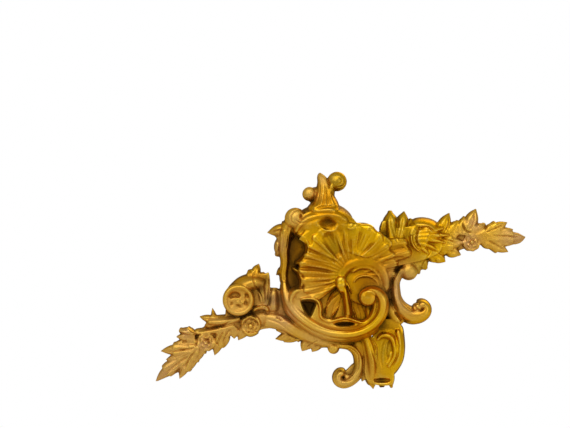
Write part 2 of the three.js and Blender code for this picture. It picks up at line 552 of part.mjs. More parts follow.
// The pin hole through the web under the large scroll.
const pin = new THREE.CylinderGeometry(pinHoleDiameter / 2, pinHoleDiameter / 2, 4 * reliefDepth, 12)
pin.rotateX(Math.PI / 2)
const pinPlace = [27, -51]
pin.translate(pinPlace[0] * step, pinPlace[1] * step, 0)
const behind = new THREE.BoxGeometry(2 * ornamentWidth, 2 * ornamentWidth, 2 * sunk)
behind.translate(0, 0, -sunk)
const carving = solids.reduce((whole, part) => whole.add(part))
  .subtract(solidOf(behind))
  .subtract(solidOf(pin))

const { vertProperties, triVerts } = carving.getMesh()
const surface = new THREE.BufferGeometry()
surface.setAttribute('position', new THREE.Float32BufferAttribute(vertProperties, 3))
surface.setIndex([...triVerts])
surface.computeVertexNormals()

const gilt = new THREE.MeshStandardMaterial({ color: 0xc8960f, roughness: 0.38, metalness: 0.95 })
const ornament = new THREE.Mesh(surface, gilt)
ornament.name = 'shell_ornament'
ornament.rotation.x = Math.PI / 2
const group = new THREE.Group()
group.add(ornament)

export default group
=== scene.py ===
import math
import bmesh
import bpy
import numpy as np
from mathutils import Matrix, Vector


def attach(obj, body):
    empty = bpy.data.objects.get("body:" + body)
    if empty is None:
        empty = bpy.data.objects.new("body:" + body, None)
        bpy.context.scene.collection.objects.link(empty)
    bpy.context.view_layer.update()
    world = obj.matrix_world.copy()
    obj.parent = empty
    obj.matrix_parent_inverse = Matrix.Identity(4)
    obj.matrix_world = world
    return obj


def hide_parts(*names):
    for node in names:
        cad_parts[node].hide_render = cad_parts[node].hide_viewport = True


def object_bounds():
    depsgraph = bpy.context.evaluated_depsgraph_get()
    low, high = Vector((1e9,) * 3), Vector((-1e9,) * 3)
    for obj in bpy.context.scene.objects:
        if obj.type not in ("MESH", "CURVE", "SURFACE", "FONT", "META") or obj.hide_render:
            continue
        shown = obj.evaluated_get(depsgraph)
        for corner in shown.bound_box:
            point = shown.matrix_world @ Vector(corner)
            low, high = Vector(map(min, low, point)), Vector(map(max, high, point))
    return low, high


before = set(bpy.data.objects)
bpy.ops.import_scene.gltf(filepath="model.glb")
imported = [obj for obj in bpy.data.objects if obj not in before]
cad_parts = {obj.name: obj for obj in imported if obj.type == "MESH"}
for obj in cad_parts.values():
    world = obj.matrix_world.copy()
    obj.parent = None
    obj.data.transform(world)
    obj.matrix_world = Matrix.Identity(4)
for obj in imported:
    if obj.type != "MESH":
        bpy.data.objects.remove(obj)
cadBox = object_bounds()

# Everything is drawn as in the CAD source: x and y in steps of 0.8 mm from the boss of the
# shell, and heights in mm above the flat back. The front faces -Y.
grid = {
    "step": 0.0008,
    "rise": 0.001,
    "edge": 2.6,           # mm, thickness where a form ends
    "sunk": 1.0,           # mm, how far every form starts behind the back
}

# camera and studio

studio = {
    "metresPerPixel": 0.0008,
    "imageWidth": 570,
    "sensor": 36,          # mm
    "lookAt": (-0.048, -0.010, 0.0568),
    "distance": 1.7,
    "floor": -0.150,
    "wall": 0.03,
    "reach": 2,            # m, how far the floor and the wall run
    "floorPaper": "#E9E7E3",
    "wallPaper": "#FFFFFF",
    "sky": "#F2F2F0",
    "skyStrength": 0.62,
}

softBoxes = {
    # place, size, watts, colour
    "keyBox": ((-0.55, -0.9, 0.75), (1.2, 1.2), 5.8, (1, 0.98, 0.92)),
    "fillBox": ((0.8, -0.8, 0.0), (0.9, 0.9), 2.6, (1, 1, 1)),
    "topBox": ((0.05, -0.5, 0.7), (0.6, 0.4), 1.4, (1, 1, 1)),
    "backBox": ((0.3, 0.9, 0.5), (0.6, 0.6), 3, (1, 1, 1)),
}


def addObject(name, data):
    obj = bpy.data.objects.new(name, data)
    bpy.context.scene.collection.objects.link(obj)
    return obj


def addCamera():
    data = bpy.data.cameras.new("studioCamera")
    data.sensor_width = studio["sensor"]
    width = studio["metresPerPixel"] * studio["imageWidth"]
    data.lens = studio["sensor"] * studio["distance"] / width
    data.clip_start, data.clip_end = 0.01, 20
    camera = addObject("studioCamera", data)
    x, y, z = studio["lookAt"]
    camera.location = (x, y - studio["distance"], z)
    camera.rotation_euler = (math.pi / 2, 0, 0)
    bpy.context.scene.camera = camera


def addSoftBox(name, place, size, power, tone):
    data = bpy.data.lights.new(name, "AREA")
    data.shape = "RECTANGLE"
    data.size, data.size_y = size
    data.energy = power
    data.color = tone
    light = addObject(name, data)
    light.location = place
    light.rotation_euler = (-light.location).to_track_quat("-Z", "Y").to_euler()


addCamera()
print("camera set")

# materials


def colour(hexValue, alpha=1.0):
    parts = [int(hexValue[i:i + 2], 16) / 255 for i in (1, 3, 5)]
    return [p / 12.92 if p <= 0.04045 else ((p + 0.055) / 1.055) ** 2.4 for p in parts] + [alpha]


def addNode(tree, kind, settings=None, values=None, links=None):
    node = tree.nodes.new(kind)
    for key, value in (settings or {}).items():
        setattr(node, key, value)
    for key, value in (values or {}).items():
        node.inputs[key].default_value = value
    for key, (source, output) in (links or {}).items():
        tree.links.new(source.outputs[output], node.inputs[key])
    return node


def newMaterial(name):
    material = bpy.data.materials.new(name)
    material.use_nodes = True
    material.node_tree.nodes.clear()
    return material, material.node_tree


# Gilt bronze: cast, chased and fire-gilt. The raised parts are burnished and mirror the studio
# softly; the hollows keep a matt brown patina that the cloth never reached, and the same brown ramp also
# paints the shade that falls in recesses, creases and on steep walls.
gilding = {
    "bright": "#D69E0C",
    "middle": "#C28A08",
    "deep": "#8E6008",
    "pit": "#513507",
    "ochre": "#D2A658",
    "blush": "#BE9266",
    # a paler yellow, partly the tone of the gilding and partly a painted highlight
    "lemonAndHighlight": "#E0AE0C",
    # a warm brown, partly the tone of the gilding and partly painted shade
    "rustAndShade": "#A8670A",
    # an olive brown, partly the tone of the gilding and partly painted shade in hollows
    "oliveAndShade": "#8C7714",
    # a dark brown, painted shadow laid in the left cavity, beside the horn, in the hood and in pockets
    "paintedShadow": "#4C310A",
    "worn": "#DDB84A",
    # bright to pit: the ramp that the hollow field runs along, partly patina and partly painted shade
    "shades": [(0.16, "bright"), (0.40, "middle"), (0.66, "deep"), (0.92, "pit")],
    "cloudSize": 14,       # mm, patches where the gilding is thinner
    "cloudShare": 0.34,
    "speckSize": 1.6,      # mm, spots of patina
    "speckShare": 0.30,
    "speckHeight": 0.00022,
    "grainSize": 0.5,      # mm, the skin of the casting
    "grainShare": 0.16,
    "grainHeight": 0.00010,
    "roughness": (0.31, 0.62),  # burnished, matt
    "ochreRoughness": 0.16,
    "metal": (0.98, 0.75),      # clean, under patina
    "sheen": "#FFDA92",
}


def giltBronze():
    material, tree = newMaterial("giltBronze")
    place = addNode(tree, "ShaderNodeTexCoord")
    scaleOf = lambda size: 1000 / size

    def noise(size, detail, rough=0.55):
        return addNode(tree, "ShaderNodeTexNoise",
                       values={"Scale": scaleOf(size), "Detail": detail, "Roughness": rough},
                       links={"Vector": (place, "Object")})

    def field(name):
        return addNode(tree, "ShaderNodeAttribute", settings={"attribute_name": name})

    def sum3(a, b, factor, offset=0.0):
        # a + b * factor + offset
        part = addNode(tree, "ShaderNodeMath", settings={"operation": "MULTIPLY_ADD"},
                       values={1: factor, 2: offset}, links={0: b})
        return addNode(tree, "ShaderNodeMath", settings={"operation": "ADD"},
                       links={0: a, 1: (part, "Value")})

    clouds = noise(gilding["cloudSize"], 3)
    specks = noise(gilding["speckSize"], 4, 0.65)
    grain = noise(gilding["grainSize"], 3, 0.6)
    # hollow: patina and painted shade in recesses, creases and on steep walls; edge: wear on sharp edges
    hollow, edge = field("hollow"), field("edge")

    shade = sum3((hollow, "Fac"), (clouds, "Fac"), gilding["cloudShare"], -gilding["cloudShare"] / 2)
    shade = sum3((shade, "Value"), (specks, "Fac"), gilding["speckShare"], -gilding["speckShare"] / 2)
    ramp = addNode(tree, "ShaderNodeValToRGB", links={"Fac": (shade, "Value")})
    while len(ramp.color_ramp.elements) < len(gilding["shades"]):
        ramp.color_ramp.elements.new(0.5)
    for element, (at, name) in zip(ramp.color_ramp.elements, gilding["shades"]):
        element.position = at
        element.color = colour(gilding[name])

    def mixed(base, output, name, amount, blend="MIX"):
        node = addNode(tree, "ShaderNodeMix", settings={"data_type": "RGBA", "blend_type": blend},
                       links={0: amount, 6: (base, output)})
        node.inputs[7].default_value = colour(gilding[name])
        return node

    keepHollow = addNode(tree, "ShaderNodeMapRange", values={1: 0.35, 2: 0.8, 3: 1.0, 4: 0.25},
                         links={0: (shade, "Value")})
    edgeAmount = addNode(tree, "ShaderNodeMath", links={0: (edge, "Fac"), 1: (keepHollow, "Result")},
                         settings={"operation": "MULTIPLY", "use_clamp": True})
    base, output = ramp, "Color"
    # tones of the gilding, some of them partly painted shade and painted highlight; they are weaker where
    # the painted shade is already dark
    for name in ("rustAndShade", "oliveAndShade", "lemonAndHighlight", "ochre", "blush"):
        amount = addNode(tree, "ShaderNodeMath", settings={"operation": "MULTIPLY"},
                         links={0: (field(name), "Fac"), 1: (keepHollow, "Result")})
        base, output = mixed(base, output, name, (amount, "Value")), "Result"
    # painted shadow: a dark brown laid over the cavities and shaded edges
    base = mixed(base, "Result", "paintedShadow", (field("paintedShadow"), "Fac"))
    base = mixed(base, "Result", "worn", (edgeAmount, "Value"))

    burnished, matt = gilding["roughness"]
    rough = addNode(tree, "ShaderNodeMapRange", values={1: 0.15, 2: 0.85, 3: burnished, 4: matt},
                    links={0: (shade, "Value")})
    rough = sum3((rough, "Result"), (field("ochre"), "Fac"), gilding["ochreRoughness"])
    rough = sum3((rough, "Value"), (grain, "Fac"), gilding["grainShare"], -gilding["grainShare"] / 2)
    clean, covered = gilding["metal"]
    metal = addNode(tree, "ShaderNodeMapRange", values={1: 0.45, 2: 0.95, 3: clean, 4: covered},
                    links={0: (shade, "Value")})
    bumpCoarse = addNode(tree, "ShaderNodeBump", links={"Height": (specks, "Fac")},
                         values={"Strength": 0.35, "Distance": gilding["speckHeight"]})
    bumpFine = addNode(tree, "ShaderNodeBump",
                       links={"Height": (grain, "Fac"), "Normal": (bumpCoarse, "Normal")},
                       values={"Strength": 0.35, "Distance": gilding["grainHeight"]})
    shader = addNode(tree, "ShaderNodeBsdfPrincipled", values={
        "Specular Tint": colour(gilding["sheen"]), "Specular IOR Level": 0.2}, links={
        "Base Color": (base, "Result"), "Roughness": (rough, "Value"), "Metallic": (metal, "Result"),
        "Normal": (bumpFine, "Normal")})
    addNode(tree, "ShaderNodeOutputMaterial", links={"Surface": (shader, "BSDF")})
    return material


def studioPaper(name, hexValue, oneSided=False):
    # matt paper roll: even, with only a trace of tooth. A one-sided sheet shows an even white glow from its
    # front instead, and is clear from behind.
    material, tree = newMaterial(name)
    place = addNode(tree, "ShaderNodeTexCoord")
    tooth = addNode(tree, "ShaderNodeTexNoise", values={"Scale": 260, "Detail": 3},
                    links={"Vector": (place, "Object")})
    bump = addNode(tree, "ShaderNodeBump", values={"Strength": 0.04, "Distance": 0.0002},
                   links={"Height": (tooth, "Fac")})
    paper = addNode(tree, "ShaderNodeBsdfPrincipled", values={"Base Color": colour(hexValue),
                    "Roughness": 0.9}, links={"Normal": (bump, "Normal")})
    last = (paper, "BSDF")
    if oneSided:
        glow = addNode(tree, "ShaderNodeEmission", values={"Color": colour("#FFFFFF"), "Strength": 1.0})
        clear = addNode(tree, "ShaderNodeBsdfTransparent")
        side = addNode(tree, "ShaderNodeNewGeometry")
        mix = addNode(tree, "ShaderNodeMixShader", links={
            0: (side, "Backfacing"), 1: (glow, "Emission"), 2: (clear, "BSDF")})
        last = (mix, "Shader")
    addNode(tree, "ShaderNodeOutputMaterial", links={"Surface": last})
    return material


# forms: each is a closed skin (corners, faces) in steps and mm, turned to metres at the end


def smoothPath(stations, perSpan):
    # a Catmull-Rom curve through the stations
    points = np.array(stations, float)
    path = []
    last = len(points) - 1
    for i in range(last):
        a, b, c, d = (points[min(max(n, 0), last)] for n in (i - 1, i, i + 1, i + 2))
        for k in range(perSpan):
            t = k / perSpan
            path.append(0.5 * (2 * b + (c - a) * t + (2 * a - 5 * b + 4 * c - d) * t ** 2
                               + (3 * b - a - 3 * c + d) * t ** 3))
    path.append(points[last])
    return np.array(path)


def loft(rings):
    rings = np.array(rings, float)
    count, size = rings.shape[:2]
    corners = rings.reshape(-1, 3)
    faces = []
    for r in range(count - 1):
        for i in range(size):
            j = (i + 1) % size
            faces.append((r * size + i, r * size + j, (r + 1) * size + j, (r + 1) * size + i))
    faces.append(tuple(range(size))[::-1])
    faces.append(tuple(range((count - 1) * size, count * size)))
    return corners, faces


def across(count=17):
    return -np.cos(np.linspace(0, math.pi, count))


def domed(power=2.4, root=0.55):
    a = across()
    return a, (1 - np.abs(a) ** power) ** root


def moulded(strands, groove):
    # parallel strands side by side: (share of the width, share of the height)
    total = sum(width for width, _ in strands)
    place, shares = [-1.0], [0.0]
    start = 0
    for n, (width, height) in enumerate(strands):
        for t in np.linspace(-1, 1, 9)[(1 if n == 0 else 0):(-1 if n == len(strands) - 1 else None)]:
            a = -1 + 2 * (start + width * (t + 1) / 2) / total
            dome = (1 - abs(a) ** 3) ** 0.5
            place.append(a)
            shares.append(height * dome * (1 - groove * (1 - math.sqrt(max(1 - t * t, 0)))))
        start += width
    return np.array(place + [1.0]), np.array(shares + [0.0])


def strands(count, groove):
    return moulded([(1, 1)] * count, groove)


def veinedSection(vein=0.1):
    # a flat lobe with a soft midrib line and fine side ribs
    a = across(23)
    plate = (1 - np.abs(a) ** 6) ** 0.5 * (0.74 + 0.26 * (1 - a ** 2))
    return a, plate - vein * np.exp(-(a / 0.2) ** 2) - 0.06 * np.abs(np.sin(3 * math.pi * a)) * plate


def ridgeSection():
    a = across(15)
    return a, 1 - np.abs(a) ** 1.25


def spoonSection():
    a = across(19)
    hollow = 0.3 + 0.7 * (np.abs(a) / 0.76) ** 2.2
    rim = 1 - 0.6 * np.clip((np.abs(a) - 0.8) / 0.2, 0, 1) ** 1.6
    return a, np.minimum(hollow, rim)


plain = domed()
soft = domed(2, 0.9)
full = domed(2, 0.8)
plump = domed(2.4, 0.7)
lipped = domed(2.2, 0.6)
veined = veinedSection()
ridge = ridgeSection()
spoon = spoonSection()


def lift(share, height):
    edge = np.minimum(grid["edge"], height * 0.8)
    return edge + (height - edge) * share


def ribbon(stations, section=plain, perSpan=7, ends=0.9):
    # a form that follows a path of (x, y, half width, height), rounded down at both ends
    path = smoothPath(stations, perSpan)
    if ends:
        spans = np.hypot(*np.diff(path[:, :2], axis=0).T)
        along = np.concatenate([[0], np.cumsum(spans)])
        for gap in (along, along[-1] - along):
            reach = np.clip(gap / np.maximum(path[:, 2] * ends, 0.1), 0, 1)
            full = np.sqrt(1 - (1 - reach) ** 2)
            path[:, 3] *= 0.45 + 0.55 * full
            path[:, 2] *= 0.55 + 0.45 * full
    run = np.gradient(path[:, :2], axis=0)
    run /= np.maximum(np.hypot(run[:, 0], run[:, 1]), 1e-9)[:, None]
    place, shares = section
    rings = []
    for (x, y, half, height), (dx, dy) in zip(path, run):
        half = max(half, 0.3)
        px, py = x + place * half * dy, y - place * half * dx
        top = np.stack([px, py, lift(shares, height)], axis=1)
        foot = [[px[0], py[0], -grid["sunk"]]]
        end = [[px[-1], py[-1], -grid["sunk"]]]
        rings.append(np.concatenate([foot, top, end]))
    return loft(rings)


def leaf(start, end, half, heights, bend=0, belly=0.4, root=0.75, tip=0.12, section=veined,
         curl=0.6, teeth=0):
    # a lobe from its root to its tip, widest at the belly, with a bent midrib and a toothed edge
    dx, dy = end[0] - start[0], end[1] - start[1]
    stations = []
    for t in np.linspace(0, 1, 33):
        side = 4 * bend * t * (1 - t)
        if t < belly:
            swell = root + (1 - root) * math.sin(math.pi / 2 * t / belly)
            height = heights[0] + (heights[1] - heights[0]) * t / belly
        else:
            u = (t - belly) / (1 - belly)
            swell = max(tip * (1 - max(u - 0.9, 0) * 4), 1 - u ** (1.5 + 1.2 * tip))
            height = heights[1] + (heights[2] - heights[1]) * u ** 1.5 + curl * math.sin(math.pi * u)
        if teeth:
            saw = (t * (teeth + 0.5) + 0.35) % 1
            swell *= 1.12 - 0.34 * (1 - saw) * min(t * 3, 1)
            height -= 0.5 * (1 - saw)
        stations.append([start[0] + dx * t - dy * side, start[1] + dy * t + dx * side,
                         half * swell, height])
    return ribbon(stations, section, 1, 0)


def turned(centre, profile, sides=40):
    # a lathe form about its own centre, from (radius, height) pairs
    turns = np.arange(sides) * 2 * math.pi / sides
    rings = []
    for radius, height in [(profile[0][0], -grid["sunk"])] + list(profile):
        radius = max(radius, 0.02)
        rings.append(np.stack([centre[0] + radius * np.cos(turns), centre[1] + radius * np.sin(turns),
                               np.full(sides, float(height))], axis=1))
    return loft(rings)


def knob(centre, radius, height):
    shoulder = max(height - radius * 0.8, height * 0.35)
    turns = np.radians(np.linspace(0, 89, 10))
    return turned(centre, [(radius * math.cos(a), shoulder + (height - shoulder) * math.sin(a))
                           for a in turns])


def ground(outline, thickness):
    # the flat ground that closes the pockets behind the carving
    points = smoothPath(list(outline) + [outline[0]], 4)[:-1]
    area = np.sum(points[:, 0] * np.roll(points[:, 1], -1) - points[:, 1] * np.roll(points[:, 0], -1))
    if area < 0:
        points = points[::-1]
    rings = [np.column_stack([points, np.full(len(points), h)]) for h in (-grid["sunk"], thickness)]
    return loft(rings)


def toMesh(name, forms):
    corners, faces, start = [], [], 0
    for points, skin in forms:
        metres = np.column_stack([points[:, 0] * grid["step"], -points[:, 2] * grid["rise"],
                                  points[:, 1] * grid["step"]])
        corners.append(metres)
        faces += [tuple(n + start for n in face) for face in skin]
        start += len(points)
    mesh = bpy.data.meshes.new(name)
    mesh.from_pydata(np.concatenate(corners).tolist(), [], faces)
    mesh.validate()
    work = bmesh.new()
    work.from_mesh(mesh)
    bmesh.ops.triangulate(work, faces=[f for f in work.faces if len(f.verts) > 4])
    bmesh.ops.recalc_face_normals(work, faces=work.faces)
    work.to_mesh(mesh)
    work.free()
    return addObject(name, mesh)


def plainMesh(obj, name):
    # what the modifiers give, as a plain mesh
    graph = bpy.context.evaluated_depsgraph_get()
    mesh = bpy.data.meshes.new_from_object(obj.evaluated_get(graph), depsgraph=graph)
    mesh.name = name
    obj.modifiers.clear()
    old = obj.data
    obj.data = mesh
    if old.users == 0:
        bpy.data.meshes.remove(old)
    return mesh


# the shell: flutes about the boss, with fine ribs set on them by Geometry Nodes

shell = {
    "centre": (7, 10),
    "inner": 12,
    "hubHeight": 20,
    "swell": 2.6,          # mm, how far a flute stands up between its edges
    "valley": 2.4,         # steps, how far the rim lies back between two flutes
    "ribsPerFlute": 5,     # in a flute of 15 degrees
    "ribHeight": 0.3,      # mm
    "ribTop": 28,          # mm, the height that the rib is drawn at
    # angle where a flute starts, reach of its lobe, height of its lip
    "flutes": [
        (-6, 43, 15), (8, 46, 18), (21, 50, 22), (33, 48, 25), (47, 49, 27), (61, 53, 28), (79, 54.6, 28),
        (97, 51, 28), (105, 53, 28), (118, 57, 29), (130, 59, 30), (141, 55, 30), (151, 52, 29),
        (161, 54, 28), (171, 56.5, 28), (181, 52, 27), (192, 52, 26), (203, 53, 24), (216, 46, 22),
    ],
}


def dish(u, lip, swell):
    # height of the shell at a share of the way out
    rise = shell["hubHeight"] + (lip - shell["hubHeight"]) * u ** 1.4
    flute = shell["swell"] * swell * math.sin(math.pi * min(0.15 + u * 0.8, 0.9))
    rolled = 6 * (1 - math.sqrt(1 - ((u - 0.9) / 0.1) ** 2)) if u > 0.9 else 0
    return rise + flute - rolled


def between(edge, nextEdge, t):
    # angle, reach, lip and fullness at a share of the way across a flute
    angle, reach, lip = (a + (b - a) * t for a, b in zip(edge, nextEdge))
    swell = math.sin(math.pi * t) ** 1.6
    return angle, reach - shell["valley"] * (1 - swell), lip, swell


def fluteColumns(perFlute):
    flutes = shell["flutes"]
    columns = [between(*edges, k / perFlute) for edges in zip(flutes, flutes[1:]) for k in range(perFlute)]
    return columns + [(*flutes[-1], 0)]


def shellGround():
    return [
        ground([(-50, 54), (-47, 66), (-34, 74), (-10, 76), (6, 68), (14, 60), (34, 52), (46, 40), (20, 28),
                (-8, 40), (-30, 46)], 25),
        ground([(-47, -8), (-36, -11), (-27, -14), (-24, -30), (-10, -34), (10, -35), (24, -33),
                (32, -24), (38, -32), (20, -47), (-6, -52), (-34, -43), (-50, -28), (-56, -14)], 22),
        ground([(34, 24), (38, 42), (60, 58), (90, 57), (96, 36), (80, 26), (60, 21), (44, 18)], 17),
        ground([(26, 46), (34, 52), (38, 64), (48, 60), (44, 40)], 14),
        ground([(42, 8), (44, 22), (60, 26), (64, 18), (56, 8), (50, 0)], 12),
        ground([(-61, 59), (-45, 71), (-20, 77), (1, 69), (17, 59), (35, 47), (55, 29), (53, 3), (55, -45),
                (31, -53), (-3, -53), (-33, -44), (-55, -25), (-63, 1), (-64, 35)], 4.5),
    ]


def fan():
    x, y = shell["centre"]
    steps = list(np.linspace(0, 0.9, 16)) + [0.93, 0.96, 0.98, 0.995]
    rings = []
    for angle, reach, lip, swell in fluteColumns(10):
        turn = math.radians(angle)
        ring = [(shell["inner"], -grid["sunk"])]
        ring += [(shell["inner"] + (reach - shell["inner"]) * u, dish(u, lip, swell)) for u in steps]
        ring += [(reach, -grid["sunk"])]
        rings.append([(x + r * math.cos(turn), y + r * math.sin(turn), h) for r, h in ring])
    return [loft(rings)]


def setAbout(name, form, places, material):
    # Geometry Nodes: one form set at every point, turned about the back's normal and sized
    tree = bpy.data.node_groups.new(name, "GeometryNodeTree")
    face = tree.interface
    face.new_socket("Geometry", in_out="INPUT", socket_type="NodeSocketGeometry")
    formIn = face.new_socket("Form", in_out="INPUT", socket_type="NodeSocketObject")
    sizeIn = face.new_socket("Relief", in_out="INPUT", socket_type="NodeSocketFloat")
    materialIn = face.new_socket("Material", in_out="INPUT", socket_type="NodeSocketMaterial")
    face.new_socket("Geometry", in_out="OUTPUT", socket_type="NodeSocketGeometry")
    into = addNode(tree, "NodeGroupInput")
    turn = addNode(tree, "GeometryNodeInputNamedAttribute", settings={"data_type": "FLOAT"},
                   values={"Name": "turn"})
    size = addNode(tree, "GeometryNodeInputNamedAttribute", settings={"data_type": "FLOAT_VECTOR"},
                   values={"Name": "size"})
    rotation = addNode(tree, "ShaderNodeCombineXYZ", links={"Y": (turn, "Attribute")})
    relief = addNode(tree, "ShaderNodeCombineXYZ", values={"X": 1, "Z": 1}, links={"Y": (into, "Relief")})
    scale = addNode(tree, "ShaderNodeVectorMath", settings={"operation": "MULTIPLY"},
                    links={0: (size, "Attribute"), 1: (relief, "Vector")})
    info = addNode(tree, "GeometryNodeObjectInfo", links={"Object": (into, "Form")})
    place = addNode(tree, "GeometryNodeInstanceOnPoints", links={
        "Points": (into, "Geometry"), "Instance": (info, "Geometry"),
        "Rotation": (rotation, "Vector"), "Scale": (scale, "Vector")})
    real = addNode(tree, "GeometryNodeRealizeInstances", links={"Geometry": (place, "Instances")})
    finish = addNode(tree, "GeometryNodeSetMaterial",
                     links={"Geometry": (real, "Geometry"), "Material": (into, "Material")})
    addNode(tree, "NodeGroupOutput", links={"Geometry": (finish, "Geometry")})

    mesh = bpy.data.meshes.new(name)
    mesh.from_pydata([(x * grid["step"], 0, y * grid["step"]) for x, y, *_ in places], [], [])
    turns = mesh.attributes.new("turn", "FLOAT", "POINT")
    sizes = mesh.attributes.new("size", "FLOAT_VECTOR", "POINT")
    turns.data.foreach_set("value", [-math.radians(p[2]) for p in places])
    sizes.data.foreach_set("vector", [s for p in places for s in p[3]])
    obj = addObject(name, mesh)
    nodes = obj.modifiers.new("setAbout", "NODES")
    nodes.node_group = tree
    nodes[formIn.identifier] = form
    nodes[sizeIn.identifier] = 1.0
    nodes[materialIn.identifier] = material
    plainMesh(obj, name)
    bpy.data.objects.remove(form)
    return obj


def unitForm(name, rings):
    # a form drawn one unit long, wide and high: it is sized where it is set
    points, faces = loft(rings)
    return toMesh(name, [(points / np.array([grid["step"], grid["step"], grid["rise"]]), faces)])


def ribForm():
    top, high = shell["ribTop"], shell["ribHeight"]
    rings = []
    for u in np.linspace(0.2, 1, 18):
        half = u * (1 - max(u - 0.9, 0) * 6)
        height = dish(min(0.04 + (u - 0.2) / 0.8 * 0.93, 0.985), top, 1) / top
        ring = [(u, -half * math.cos(t), height + high / top * (math.sin(t) - 1))
                for t in np.linspace(0, math.pi, 9)]
        rings.append([(u, -half, 0.2)] + ring + [(u, half, 0.2)])
    return unitForm("shellRib", rings)


def shellRibs(material):
    x, y = shell["centre"]
    flutes, top, places = shell["flutes"], shell["ribTop"], []
    for edge, nextEdge in zip(flutes, flutes[1:]):
        span = nextEdge[0] - edge[0]
        count = max(3, round(shell["ribsPerFlute"] * span / 15))
        for k in range(count):
            angle, reach, lip, swell = between(edge, nextEdge, (k + 0.5) / count)
            out = reach - 1.6
            high = (dish(0.8, lip, swell) + 0.5) / dish(0.8, top, 1)
            half = math.radians(span / count / 2) * out * 0.98
            size = (out * grid["step"], high * top * grid["rise"], half * grid["step"])
            places.append((x, y, angle, size))
    return setAbout("shellRibs", ribForm(), places, material)


# blossoms: rings of cupped petals, set by the same tree

blossoms = {
    "armBlossom": {"centre": (-139, -57), "radius": 9.6, "petals": 5, "height": 16.6, "turn": 20},
    "bud": {"centre": (126.6, 43), "radius": 9.4, "petals": 5, "height": 15.6, "turn": 12},
    "hornFlower": {"centre": (-94.4, -40.6), "radius": 10, "petals": 5, "height": 17.4, "turn": 40},
}


def petalForm():
    # one cupped petal, one unit long, with its root at the origin
    rings = []
    for u in np.linspace(0.08, 1, 14):
        half = 0.56 * math.sin(math.pi * (0.12 + 0.8 * u) * 0.93) ** 0.7
        a = across(15)
        cup = 0.62 + 0.2 * u + 0.2 * np.abs(a) ** 2.2 * math.sin(math.pi * min(u, 0.95))
        edge = 1 - np.clip((np.abs(a) - 0.86) / 0.14, 0, 1) ** 2 * 0.5
        roll = 1 - 0.45 * max(u - 0.86, 0) / 0.14
        height = cup * edge * roll
        ring = [(u, -half, 0)] + [(u, half * s, h) for s, h in zip(a, height)] + [(u, half, 0)]
        rings.append(ring)
    return unitForm("petal", rings)


def petalRings(material):
    places = []
    for flower in blossoms.values():
        (x, y), count = flower["centre"], flower["petals"]
        for n in range(count):
            for ring, (reach, turn, high) in enumerate([(1, 0, 0.94), (0.62, 0.5, 1.0)]):
                r = flower["radius"] * reach
                places.append((x, y, flower["turn"] + 360 * (n + turn) / count,
                               (r * grid["step"], flower["height"] * high * grid["rise"],
                                r * 1.08 * grid["step"])))
    return setAbout("petalRings", petalForm(), places, material)


def roseForms():
    # broad outer petals, and ruffled ones about the middle
    return [
        ribbon([(74, 61, 8, 17), (68.6, 56, 10, 18.6), (66.4, 48, 10.4, 19.4), (69, 39, 9.6, 19),
                (77, 33, 7, 17.6)], soft),
        ribbon([(66, 60, 6, 17), (77, 59.4, 8.6, 19.4), (87, 56, 9, 20), (92, 49, 7, 18.4)], soft),
        turned((82, 46), [(15, 12), (13, 15.4), (0, 16.4)]),
        leaf([70, 53], [98, 57], 7.4, [19, 20.6, 17], section=plump, tip=0.4, teeth=1, bend=-0.05),
        leaf([69, 49], [104, 50], 7, [20, 21.6, 17.4], section=plump, tip=0.3, teeth=1),
        leaf([69, 45], [100, 42], 6.6, [20.4, 22, 17.6], section=plump, tip=0.3, teeth=1, bend=0.06),
        leaf([70, 42], [93, 34], 5.8, [20, 21.4, 17], section=plump, tip=0.4, teeth=1, bend=0.08),
        leaf([72, 39], [84, 29], 5, [19, 20, 16], section=plump, tip=0.5, bend=0.1),
        ribbon([(66, 52, 3, 21), (66, 44, 3.6, 21.6), (70, 37, 3.4, 20.6), (77, 32, 2.6, 18)],
               soft),
    ]


def flowerHearts():
    forms = roseForms()
    for flower in blossoms.values():
        forms.append(knob(flower["centre"], flower["radius"] * 0.24, flower["height"] * 0.98))
    return forms


# the ornament's parts, from the crest down, then its two arms


def crest():
    # a stem between two knobs, over a hood
    return [
        ribbon([(-22, 63, 20, 29), (-21, 73, 18.6, 30), (-20.4, 81, 14.6, 26), (-20.6, 88, 11, 22),
                (-20.8, 95, 8.4, 19), (-22, 103, 6, 16), (-24.4, 109, 3.6, 12), (-25.2, 112.4, 1, 8)],
               domed(6, 0.8)),
        ribbon([(-14, 88, 4, 18), (-14, 97, 4.6, 19), (-11, 103, 6, 18)]),
        knob([-8, 103.5], 9.8, 19),
        knob([-35.5, 91], 7.1, 18),
        ribbon([(-37.6, 88, 7, 15), (-30, 90, 8, 17), (-20, 90.4, 9, 18)]),
        ribbon([(-50, 50, 5, 26), (-46, 59, 8, 27.6), (-37, 66, 11, 29), (-24, 69, 12, 29.4),
                (-11, 69, 12, 29.4), (-2, 65.6, 10, 29), (5, 60, 7, 28)], soft),
        knob([5.4, 58.5], 4.6, 28.6),
        knob([-49.7, 66.6], 10.7, 27),
        ribbon([(-40, 60, 5, 26), (-46, 57.6, 6, 26), (-53, 60, 5, 24)]),
    ]


